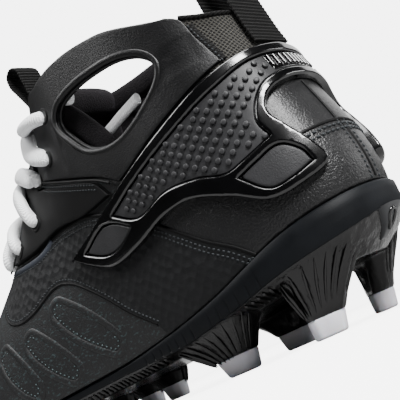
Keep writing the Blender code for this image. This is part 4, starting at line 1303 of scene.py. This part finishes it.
def stud_point(stud, angle, share):
    """Point of a stud's side at an angle round it, from the floor up to the fin's top."""
    square = np.abs(np.cos(angle)) ** STUD_SQUARENESS + np.abs(np.sin(angle)) ** STUD_SQUARENESS
    along = np.cos(angle) * square ** (-1.0 / STUD_SQUARENESS)
    side = math.copysign(1.0, stud["y"])
    aside = np.sin(angle) * square ** (-1.0 / STUD_SQUARENESS) * side
    turn = math.radians(stud["turn"])
    length = 0.5 * stud["length"] * along
    width = 0.5 * stud["width"] * aside
    tip = np.array((stud["x"] + length * math.cos(turn) - width * math.sin(turn),
                    stud["y"] + length * math.sin(turn) + width * math.cos(turn), 0.0))
    middle = 0.5 * (stud["root_first"] + stud["root_last"])
    station = middle + 0.5 * (stud["root_last"] - stud["root_first"]) * along
    inwards = 0.5 * (1.0 - aside * side)
    band = float(read("band", station)) - GAP
    top = band - FIN_TOP - FIN_DROP * (band - float(read("floor", station))) * inwards
    root = outline(np.array(station), plate_flare(station) - FIN_INSET - stud["root_depth"] * inwards, top)
    point = tip + (root - tip) * share ** FIN_HOLLOW
    point[2] = share * root[2]
    return point


def plate_flare(stations):
    """How far the plate's lip stands out of the outline."""
    return np.minimum(read("flare", stations), PLATE_FLARE)


def plate_side(stations, share):
    """Point of the plate's side, from the band down to the underside."""
    band = read("band", stations) - GAP
    floor = read("floor", stations)
    inset = read("inset", stations)
    flare = plate_flare(stations)
    top = outline(stations, flare, band - PLATE_LIP)
    middle = outline(stations, flare - SIDE_HOLLOW * inset, 0.5 * (band + floor))
    low = outline(stations, -inset, floor)
    share = np.asarray(share, dtype=float)[..., None]
    upper_half = top + (middle - top) * 2.0 * share
    return np.where(share < 0.5, upper_half, middle + (low - middle) * (2.0 * share - 1.0))


FIN_RIB_ANGLES = np.radians(np.linspace(28.0, 152.0, 11))
FIN_RIB_SHARES = (0.34, 0.98)
FIN_RIB_WIDE = (0.32, 0.85)
FIN_RIB_HIGH = (0.65, 1.4)
FIN_RIB_FADE = (0.15, 0.42)
FIN_RIB_LEAST = 0.06
HEEL_FIN_SPAN = 1.0
SIDE_RIB_START = 0.6
SIDE_RIB_PITCH = 0.105
SIDE_RIB_HALF = (0.7, 0.8)
SIDE_RIB_SHARES = (0.30, 0.95)
SIDE_RIB_CAP = 1.2
DRAW_RIB_POINTS = 9
DRAW_RIB_SECTIONS = 8
PLATE_VOXEL = 1.0


def under_heel_fin(station):
    """Whether the wide fin of a heel stud covers the plate's side at a station."""
    for stud in STUD_FACTS.values():
        first, last = sorted((stud["root_first"], stud["root_last"]))
        if last - first > HEEL_FIN_SPAN and first < station < last:
            return True
    return False


def plate_ribs():
    """Draw ribs that fan down the fins and stand along the plate's side."""
    forms = []
    half = [np.linspace(*ends, DRAW_RIB_POINTS) for ends in (FIN_RIB_WIDE, FIN_RIB_HIGH)]
    share = np.linspace(0.0, 1.0, DRAW_RIB_POINTS)
    from_ends = np.minimum(share / FIN_RIB_FADE[0], (1.0 - share) / FIN_RIB_FADE[1])
    fade = np.clip(from_ends, FIN_RIB_LEAST, 1.0)
    levels = np.linspace(*FIN_RIB_SHARES, DRAW_RIB_POINTS)
    for stud in STUD_FACTS.values():
        for angle in FIN_RIB_ANGLES:
            path = np.array([stud_point(stud, angle, level) for level in levels])
            out = path[0] - np.array((stud["x"], stud["y"], path[0][2]))
            forms.append(swept(path, out, half, sections=DRAW_RIB_SECTIONS, fullness=fade))
    for station in np.arange(SIDE_RIB_START, STATIONS - SIDE_RIB_START, SIDE_RIB_PITCH):
        if under_heel_fin(station):
            continue
        stations = np.full(DRAW_RIB_POINTS, station)
        path = plate_side(stations, np.linspace(*SIDE_RIB_SHARES, DRAW_RIB_POINTS))
        forms.append(swept(path, outwards(stations), SIDE_RIB_HALF, sections=DRAW_RIB_SECTIONS,
                           fullness=rounded_ends(path, SIDE_RIB_CAP)))
    return joined(forms)


def outsole_plate():
    """Moulded plate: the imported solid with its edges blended, and ribs down its side and its fins."""
    body = packed_form("outsole")
    piece = piece_in_metres("outsole_plate", body, [PLATE], ["outsole"], math.pi)
    blend = piece.modifiers.new("Skin", "REMESH")
    blend.mode = "VOXEL"
    blend.voxel_size = PLATE_VOXEL * MM
    blend.use_smooth_shade = True
    apply_modifiers(piece)
    form = bmesh.new()
    form.from_mesh(piece.data)
    smooth_once(form, form.verts)
    ribs = plate_ribs()
    bmesh.ops.transform(ribs, matrix=TO_METRES, verts=ribs.verts)
    form = joined([form, ribs])
    form.to_mesh(piece.data)
    form.free()
    piece.data.shade_smooth()
    piece.data.materials.clear()
    piece.data.materials.append(PLATE)


TIP_SEAT = 0.9
TIP_CREASE = 0.6
TIP_ROUNDING = 1.0
TIP_FLAT = math.radians(2.0)
TIP_EDGE = math.radians(15.0)


def stud_tips():
    """Pale tips with rounded edges and a crease across each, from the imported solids."""
    half_way = 0.5 * TIP_HEIGHT * MM
    for name, stud in STUD_FACTS.items():
        form = packed_form(f"tip_{name}")
        bmesh.ops.dissolve_limit(form, angle_limit=TIP_FLAT, verts=form.verts, edges=form.edges)
        top = [vert for vert in form.verts if vert.co.z > half_way]
        bmesh.ops.translate(form, verts=top, vec=(0.0, 0.0, TIP_SEAT * MM))
        middle = TO_METRES @ Vector((stud["x"], stud["y"], 0.0))
        turn = math.radians(stud["turn"])
        everything = form.verts[:] + form.edges[:] + form.faces[:]
        cut = bmesh.ops.bisect_plane(form, geom=everything, dist=SOLID_WELD, plane_co=middle,
                                     plane_no=(math.cos(turn), math.sin(turn), 0.0))
        for vert in [item for item in cut["geom_cut"] if isinstance(item, bmesh.types.BMVert)]:
            if vert.co.z > half_way:
                continue
            inwards = middle - vert.co
            inwards.z = 0.0
            vert.co += inwards.normalized() * TIP_CREASE * MM
        edges = [edge for edge in form.edges if edge.is_manifold and edge.calc_face_angle() > TIP_EDGE]
        bmesh.ops.bevel(form, geom=edges, offset=TIP_ROUNDING * MM, segments=3, profile=0.5,
                        affect="EDGES", material=-1)
        piece_in_metres(f"tip_{name}_cap", form, [TIP], [f"tip_{name}"])


PANEL_TOP_HALF = 0.36
PANEL_END_HALF = 0.12
PANEL_END = 0.8
PANEL_THICKNESS = 1.2
PANEL_DEPTH = 1.0
PANEL_SQUARENESS = (6, 8)
PANEL_GRID = 30
SLOT_POINTS = 48
SLOT_NARROWING = 0.65
SLOT_CORD_HALF = (0.7, 0.6)
SLOT_HALF = 0.13
SLOT_TOP = 0.16
SLOT_END = 0.62


def heel_panel():
    """Satin spine that runs from the band down the back of the plate, with its narrow slot."""
    def place(u, w):
        half = PANEL_TOP_HALF + (PANEL_END_HALF - PANEL_TOP_HALF) * w
        aside = 2.0 * u - 1.0
        stations = aside * half
        crown = (1.0 - aside ** PANEL_SQUARENESS[0]) * (1.0 - w ** PANEL_SQUARENESS[1])
        lift = (GAP + PANEL_THICKNESS * crown)[:, None]
        return plate_side(stations, w * PANEL_END) + outwards(stations) * lift, {}

    form = grid_form(PANEL_GRID, PANEL_GRID, place)
    bmesh.ops.recalc_face_normals(form, faces=form.faces)
    grown = bmesh.ops.extrude_face_region(form, geom=form.faces[:])["geom"]
    verts = [item for item in grown if isinstance(item, bmesh.types.BMVert)]
    bmesh.ops.translate(form, verts=verts, vec=(PANEL_DEPTH, 0.0, 0.0))
    piece_from("heel_spine", facing_out(form), [SPINE], ["heel_panel"])
    angle = ring_angles(SLOT_POINTS)
    drop = 0.5 - 0.5 * np.cos(angle)
    stations = SLOT_HALF * np.sin(angle) * (1.0 - SLOT_NARROWING * drop)
    out = outwards(stations)
    path = plate_side(stations, SLOT_TOP + (SLOT_END - SLOT_TOP) * drop) + out * (GAP + PANEL_THICKNESS)
    form = swept(path, out, SLOT_CORD_HALF, sections=10, closed=True)
    piece_from("heel_slot", form, [STRAP])


def tongue_depth(stations):
    """Lift of the tongue's upper face, below the upper and sinking towards the toe."""
    return -WALL - 2 * GAP - TONGUE_SINK * np.clip((stations - INSTEP) / (TONGUE_LAST - INSTEP), 0.0, 1.0)


def tucked(t, share):
    """Share of the section that lies a tuck's length below the rim."""
    below = share * (1.0 - SHARES)
    points = last_point(np.full_like(below, t), below)
    return np.interp(TONGUE_TUCK, lengths_along(points), below)


def tongue_pad():
    """Padded plush tongue under the throat, rounded at its edges."""
    ring = np.linspace(TONGUE_FIRST, TONGUE_LAST, TONGUE_COLUMNS + 1)
    start = np.array([tucked(t, share) for t, share in zip(ring, rim_share(ring))])

    def place(u, w):
        stations = TONGUE_FIRST + u * (TONGUE_LAST - TONGUE_FIRST)
        inner = w > 0.5
        first = np.interp(stations, ring, start)
        shares = first + (1.0 - first) * (1.0 - np.abs(2.0 * w - 1.0))
        depth = tongue_depth(stations)
        one = skin(stations, shares, depth)
        two = skin(STATIONS - stations, shares, depth)
        points = np.where(inner[:, None], two, one)
        ridge = (np.abs(w - 0.5) < RIDGE_NEAR) & (stations >= WAIST)
        points[ridge] = 0.5 * (one[ridge] + two[ridge])
        return points, {}

    form = grid_form(TONGUE_COLUMNS, TONGUE_ROWS, place)
    bmesh.ops.remove_doubles(form, verts=form.verts, dist=SHEET_WELD)
    form = turned_sheet(form, (1.0, 0.0, 0.0), (0.0, 0.0, 1.0))
    piece = piece_from("tongue_pad", form, [PLUSH], ["tongue"])
    pad = piece.modifiers.new("Pad", "SOLIDIFY")
    pad.thickness = TONGUE_THICKNESS * MM
    pad.offset = -1.0
    edge = piece.modifiers.new("Edge", "BEVEL")
    edge.width = TONGUE_ROUNDING * MM
    edge.segments = 3
    edge.limit_method = "ANGLE"
    edge.angle_limit = TONGUE_EDGE
    apply_modifiers(piece)
    piece.data.shade_smooth()


TONGUE_ROLL = (
    (127, 23.5, 147), (118, 25.2, 140), (109, 26.0, 132), (99, 26.4, 120.5), (91, 26.8, 109),
    (85, 27.2, 100),
)
TONGUE_ROLL_HALF = (5.6, 2.4)
TONGUE_CUSHION = ((125, 22, 141), (120.5, 12, 141), (118.5, 0, 141), (120.5, -12, 141.5), (125, -22, 142))
TONGUE_CUSHION_HALF = (7.0, 4.5)
TONGUE_CUSHION_UP = (1.0, 0.0, 0.4)
ROLL_STEP = 1.2
ROLL_SECTIONS = 20
COLLAR_ROLL_STATIONS = (-5.75, 5.75)
COLLAR_ROLL_HALF = (5.0, 2.7)
COLLAR_ROLL_DROP = 5.6
COLLAR_ROLL_GAP = 0.1
COLLAR_ROLL_POINTS = 240


def blunt_ends(count, power):
    """Shares of the full section along a roll that closes quickly at both ends."""
    return np.sqrt(np.clip(1.0 - np.linspace(-1.0, 1.0, count) ** power, 0.02, 1.0))


def lining_rolls():
    """Plush rolls: the tongue's two side edges with its cushion, and the padded rim inside the collar."""
    rolls = []
    for side in (1.0, -1.0):
        path = smooth_path(np.array(TONGUE_ROLL) * (1.0, side, 1.0), ROLL_STEP)
        rolls.append(swept(path, (0.0, side, 0.0), TONGUE_ROLL_HALF, 2.4, ROLL_SECTIONS,
                           blunt_ends(len(path), 12)))
    path = smooth_path(TONGUE_CUSHION, ROLL_STEP)
    rolls.append(swept(path, TONGUE_CUSHION_UP, TONGUE_CUSHION_HALF, 2.2, ROLL_SECTIONS,
                       blunt_ends(len(path), 6)))
    piece = piece_from("tongue_edges", joined(rolls), [PLUSH])
    stations = np.linspace(*COLLAR_ROLL_STATIONS, COLLAR_ROLL_POINTS)
    heights = last_point(stations, rim_share(stations))[:, 2] - COLLAR_ROLL_DROP
    shares = at_height(stations, heights)
    path = skin(stations, shares, -WALL - COLLAR_ROLL_HALF[1] - COLLAR_ROLL_GAP)
    roll = swept(path, last_normal(stations, shares), COLLAR_ROLL_HALF, 2.6, ROLL_SECTIONS)
    piece = piece_from("collar_padding", roll, [PLUSH])


def webbing_loops():
    """Heel loop over the collar's back and tongue loop over the tongue's top, ribbed across."""
    heel = np.array(HEEL_LOOP, dtype=float)
    level = np.zeros(len(heel))
    heel[:, 0] += last_point(level, at_height(level, heel[:, 1]))[:, 0]
    front = np.array(TONGUE_LOOP, dtype=float)
    for name, path, half in (("heel_loop", heel, HEEL_LOOP_HALF), ("tongue_loop", front, TONGUE_LOOP_HALF)):
        points = smooth_path(np.insert(path, 1, 0.0, axis=1), WEBBING_STEP)
        ups = np.cross(np.gradient(points, axis=0), (0.0, 1.0, 0.0))
        turns = 2.0 * math.pi * np.arange(len(points)) * WEBBING_STEP / WEBBING_RIB_PITCH
        rib = 0.5 * WEBBING * (WEBBING_RIB[0] + WEBBING_RIB[1] * np.cos(turns))
        form = swept(points, ups, (half, rib), squareness=6.0, sections=28)
        piece_from(f"{name}_tape", form, [TAPE], [name])


def laid_on(chord, side):
    """Points of the last nearest to a chord, on one side of the foot, lifted to the lace's middle."""
    stations, shares = np.meshgrid(side * np.arange(*LACE_STATIONS), np.arange(*LACE_SHARES))
    stations = stations.ravel()
    shares = shares.ravel()
    form = last_point(stations, shares)
    near = [np.argmin(np.linalg.norm(form - point, axis=1)) for point in chord]
    return skin(stations[near], shares[near], LACE_LIFT)


def eyelet_place(end, side, lift):
    """Middle of an eyelet on one side of the foot, lifted."""
    station = side * end["eyelet"]
    return skin(station, at_height(station, end["height"])[0], lift)


def lace_bar(ends):
    """Points of a bar over the tongue, from inside an outer eyelet to inside an inner one."""
    ridge = last_point(0.5 * (ends[0]["ridge"] + ends[1]["ridge"]), 1.0)
    shares = np.linspace(0.0, 1.0, LACE_POINTS)[:, None]
    halves = []
    for side, end in zip((1.0, -1.0), ends):
        eyelet = eyelet_place(end, side, 0.0)
        bar = laid_on(eyelet + (ridge - eyelet) * shares, side)
        start = eyelet_place(end, side, BAR_START_LIFT)
        bar[0] = start * BAR_START_SHARE + bar[1] * (1.0 - BAR_START_SHARE)
        hole = eyelet_place(end, side, LACE_SINK)
        halves.append(np.concatenate((hole[None, :], bar)))
    middle = 0.5 * (halves[0][-1] + halves[1][-1])
    return np.concatenate((halves[0][:-1], middle[None, :], halves[1][-2::-1]))


LACE_HEART = np.array((90.0, 0.0, 60.0))


def laces():
    """Crossed lace bars through the eyelets, and the loose end inside the collar."""
    bars = []
    for first, then in zip(LACE_ENDS[::2], LACE_ENDS[1::2]):
        for pair in ((first, then), (then, first)):
            path = smooth_path(lace_bar(pair), LACE_STEP)
            bars.append(swept(path, path - LACE_HEART, BAR_HALF, 2.2, 20, rounded_ends(path, BAR_CAP)))
    path = smooth_path(LACE_STUB, LACE_STEP)
    bars.append(swept(path, (0.0, 1.0, 0.0), LACE_STUB_HALF, 2.4, 20, rounded_ends(path, LACE_STUB_CAP)))
    piece_from("lace_bars", joined(bars), [LACE], ["lace"])
    path = smooth_path(LACE_END, LACE_END_STEP)
    form = swept(path, LACE_END_UP, LACE_END_HALF, 3.0, 16)
    tail = piece_from("lace_tail", form, [LACE], ["lace_end"])


EYELET_RADIUS = 3.1
EYELET_POINTS = 24
EYELET_RIM_HALF = (0.7, 0.5)


def eyelet_rims():
    """Moulded rims round the eyelets, apart from the front row at the eyestay's lower edge."""
    rims = []
    angle = ring_angles(EYELET_POINTS)
    circle = EYELET_RADIUS * np.stack((np.cos(angle), np.sin(angle)), axis=1)
    for end in LACE_ENDS[:-1]:
        lift = WING_LIFT if end["eyelet"] < WING_RIM[1] else STAY_LIFT
        for side in (1.0, -1.0):
            middle = np.interp(side * end["eyelet"], AROUND_STATION, AROUND)
            stations, shares = pattern_place(circle + (middle, end["height"]))
            rims.append(swept(skin(stations, shares, lift + OVERLAY_THICKNESS), last_normal(stations, shares),
                              EYELET_RIM_HALF, sections=8, closed=True))
    piece_from("eyelet_rims", joined(rims), [STAY])


CHANNELS = ((155.5, 54.5, 134.0, 31.5), (176.0, 48.0, 158.0, 28.5), (197.0, 48.0, 181.0, 29.0))
CHANNEL_HALF = 5.0
CHANNEL_WELT_HALF = (1.5, 0.34)
CHANNEL_TURNS = 9
DOT_ROW_HALF = 2.6
DOT_LIFT = 0.1


def stadium(a_one, up_one, a_two, up_two, half):
    """Closed edge round a line from one pattern point to another."""
    one, two = np.array((a_one, up_one)), np.array((a_two, up_two))
    way = (two - one) / np.linalg.norm(two - one)
    left = np.array((-way[1], way[0]))
    turns = np.linspace(-0.5 * math.pi, 0.5 * math.pi, CHANNEL_TURNS)[:, None]
    far = two + half * (np.cos(turns) * way + np.sin(turns) * left)
    near = one - half * (np.cos(turns) * way + np.sin(turns) * left)
    return np.concatenate((far, near))


EYESTAY_FOLD = (
    (149.5, 84.6, 0), (154, 82.2, 0), (160, 80.8, 0), (168, 80.8, 0), (176, 81.5, 0), (185, 82.8, 0),
    (193, 84.2, 0),
)
EYESTAY_LOOPS = ((171.5, 90.5, 177.5, 84.6), (186.0, 88.0, 192.0, 84.2))
WING_SEAM = ((143, 110.4, 0), (127.5, 103.6, 0), (113, 97.0, 0), (101, 91.2, 0), (94, 86.6, 0))
HEEL_SEAM = ((26, 63.6, 0), (19, 65.4, 0), (9, 66.6, 0), (0, 67.2, 0))
UPPER_BACK_SEAM = ((1.2, 86.0), (1.3, 76.0), (1.5, 67.0))
LOWER_BACK_SEAM = ((0, 66.4), (0, 55.0), (0, 43.2))
BACK_STITCH_OFFSETS = (1.7, -1.7)
WING_REAR = ((25.0, 103.2, 0), (26.0, 109.0, 0), (28.0, 116.0, 0), (29.2, 121.0, 0))
WING_STITCH_DROPS = (2.2, 4.4)
LOOP_HALF = (1.8, 0.5)
COLLAR_BINDING_RIM = (0.0, 1.5, 6)
COLLAR_BINDING_LIFT = -0.4
COLLAR_BINDING_HALF = (1.2, 1.9)

# Cords along the seams: what they are, the edge that they follow, lift and half sizes
SEAM_CORDS = (
    ("piping", "wing", STAY_TOP, (0.55, 0.55)),
    ("folds", "eyestay fold", UNDERLAY_LIFT + 0.3, (1.5, 0.6)),
    ("binding", "wing rear", WING_LIFT, (1.7, 0.7)),
    ("piping", "quarter front", UNDERLAY_LIFT + 0.2, (0.9, 0.5)),
    ("piping", "quarter rear", UNDERLAY_LIFT + 0.2, (0.7, 0.45)),
    ("piping", "vamp border", UNDERLAY_LIFT + 0.1, (0.6, 0.4)),
    ("piping", "heel", 0.0, (0.7, 0.5)),
)

# Rows of stitches beside the seams: the edge, the offsets from it, lift and beads
STITCH_ROWS = (
    ("wing rear", (-0.2,), WING_LIFT + 0.6, STITCH),
    ("quarter front", (2.0, 3.8), UNDERLAY_TOP, STITCH),
    ("quarter rear", (2.0, 3.8), UNDERLAY_TOP, STITCH),
    ("vamp border", (1.7,), UNDERLAY_TOP, STITCH),
    ("heel", (2.0, 4.0), 0.15, HEEL_STITCH),
)

# Pieces that the seams make: name, what goes in, finish and slot
SEAM_PIECES = (
    ("edge_binding", "binding", TAPE, "webbing"),
    ("seam_piping", "piping", STAY, "eyestay"),
    ("seam_folds", "folds", FOLD, "eyestay"),
    ("seam_stitches", "stitches", THREAD, "eyestay"),
    ("vamp_channels", "welts", UPPER, "upper_textile"),
    ("vamp_dots", "dots", PRINT, "upper_textile"),
)


def seam_edges():
    """Edges on the outer side that the seams follow, by name."""
    rows = {"wing": WING_SEAM, "wing rear": WING_REAR, "eyestay fold": EYESTAY_FOLD, "quarter": QUARTER_TOP,
            "vamp border": VAMP_BORDER, "heel": HEEL_SEAM}
    edges = {name: pattern_curve(points, False) for name, points in rows.items()}
    edges["wing stitches"] = edges["wing"][:-OUTLINE_STEPS - 2]
    edges["quarter front"] = edges["quarter"][:7 * OUTLINE_STEPS]
    edges["quarter rear"] = edges["quarter"][8 * OUTLINE_STEPS:]
    return edges


def on_side(edge, side):
    """Open edge as it is on the outer side, or mirrored on the inner side."""
    edge = np.asarray(edge, dtype=float)
    return edge if side > 0 else np.stack((inner_side(edge[:, 0]), edge[:, 1]), axis=1)


def seams():
    """Folded edges, piping, bindings, channels and rows of stitches, on both sides."""
    edges = seam_edges()
    made = {kind: [] for _, kind, _, _ in SEAM_PIECES}
    for side in (1, -1):
        for kind, name, lift, half in SEAM_CORDS:
            made[kind].append(seam_cord(on_side(edges[name], side), lift, half))
        for name, offsets, lift, bead in STITCH_ROWS:
            made["stitches"] += [stitches(on_side(beside(edges[name], offset), side), lift, bead)
                                 for offset in offsets]
        made["stitches"] += [stitches(on_side(edges["wing stitches"] - (0.0, drop), side), STAY_TOP)
                             for drop in WING_STITCH_DROPS]
        for loop in EYESTAY_LOOPS:
            edge = on_side(np.linspace(loop[:2], loop[2:], 5), side)
            made["binding"].append(seam_cord(edge, STAY_TOP, LOOP_HALF))
        rim = on_side(pattern_curve(rim_edge(*COLLAR_BINDING_RIM, side < 0), False), side)
        made["binding"].append(seam_cord(rim, COLLAR_BINDING_LIFT, COLLAR_BINDING_HALF))
        for channel in CHANNELS:
            edge = on_side(stadium(*channel, CHANNEL_HALF), side)
            welt = seam_cord(edge, 0.0, CHANNEL_WELT_HALF, closed=True)
            chart(welt, around=channel[0], up=channel[1])
            made["welts"].append(welt)
            made["dots"].append(stitches(on_side(stadium(*channel, DOT_ROW_HALF), side), DOT_LIFT, DOT))
    made["piping"].append(seam_cord(UPPER_BACK_SEAM, 0.05, (0.55, 0.55)))
    made["piping"].append(seam_cord(LOWER_BACK_SEAM, 0.0, (0.6, 0.4)))
    made["stitches"] += [stitches(np.array(LOWER_BACK_SEAM) + (offset, 0.0), 0.05)
                         for offset in BACK_STITCH_OFFSETS]
    for name, kind, material, slot in SEAM_PIECES:
        piece_from(name, joined(made[kind]), [material])


def insole_finish():
    """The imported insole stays, in a finish of its own."""
    mesh = NODES["insole"].data
    mesh.materials.clear()
    mesh.materials.append(SOCKLINER)


# Studio

def camera():
    """Camera just above the floor, behind the heel on the outer side, rolled like the photo."""
    data = bpy.data.cameras.new("Camera")
    data.sensor_width = SENSOR
    data.lens = CAMERA_FOCAL / FRAME_PIXELS * SENSOR
    data.clip_start = NEAR_LIMIT
    eye = new_object("Camera", data)
    eye.location = TO_METRES @ Vector(CAMERA_PLACE)
    eye.rotation_euler = [math.radians(angle) for angle in CAMERA_TURN]
    bpy.context.scene.camera = eye


# Soft lights: place, size and power
SOFTBOXES = {
    "overhead": ((-0.25, 0.0, 0.95), 0.50, 13.0),
    "heel_side": ((-0.80, 0.25, 0.72), 0.30, 25.0),
    "front_top": ((0.45, 0.40, 0.85), 0.50, 8.0),
    "far_side": ((0.1, -0.8, 0.6), 0.9, 6.0),
    "rear_edge": ((-0.75, -0.60, 0.28), 0.30, 2.8),
    "low_strip": ((0.75, 0.65, 0.10), 0.12, 0.22),
}
WORLD_LEVEL = 0.03
BACKDROP_LEVEL = 5.8
FLOOR_LEVEL = 5.4
FLOOR_RADIUS = 3.0
FLOOR_SEGMENTS = 96
LIGHT_AIM = (0.0, 0.0, 0.08)


def floor_finish():
    """Pale floor that looks as bright as its surroundings, and casts little light back up."""
    material, tree, shader = new_finish("Studio floor", (0.30, 0.30, 0.30), 0.8, Specular_IOR_Level=0.0)
    shader.inputs["Emission Color"].default_value = (1.0, 1.0, 0.995, 1.0)
    seen = add_node(tree, "ShaderNodeLightPath").outputs["Is Camera Ray"]
    tree.links.new(math_node(tree, "MULTIPLY", seen, FLOOR_LEVEL), shader.inputs["Emission Strength"])
    return material


def studio():
    """Pale floor and surroundings, with large soft lights."""
    form = bmesh.new()
    bmesh.ops.create_circle(form, cap_ends=True, segments=FLOOR_SEGMENTS, radius=FLOOR_RADIUS)
    mesh = mesh_from("Floor", form)
    mesh.materials.append(floor_finish())
    new_object("Floor", mesh)
    for name, (place, size, power) in SOFTBOXES.items():
        data = bpy.data.lights.new(name, "AREA")
        data.size = size
        data.energy = power
        lamp = new_object(name, data)
        lamp.location = place
        lamp.visible_camera = False
        lamp.rotation_euler = (Vector(LIGHT_AIM) - Vector(place)).to_track_quat("-Z", "Y").to_euler()
    world = bpy.data.worlds.new("Studio")
    world.use_nodes = True
    tree = world.node_tree
    sky = tree.nodes["Background"]
    sky.inputs["Color"].default_value = (1.0, 1.0, 1.0, 1.0)
    seen = add_node(tree, "ShaderNodeLightPath").outputs["Is Camera Ray"]
    level = math_node(tree, "MULTIPLY_ADD", seen, BACKDROP_LEVEL - WORLD_LEVEL, WORLD_LEVEL)
    tree.links.new(level, sky.inputs["Strength"])
    bpy.context.scene.world = world


camera()
laces()
upper_shell()
collar_overlays()
underlays()
heel_cage()
midsole_band()
outsole_plate()
stud_tips()
heel_panel()
tongue_pad()
lining_rolls()
webbing_loops()
eyelet_rims()
seams()
insole_finish()
studio()
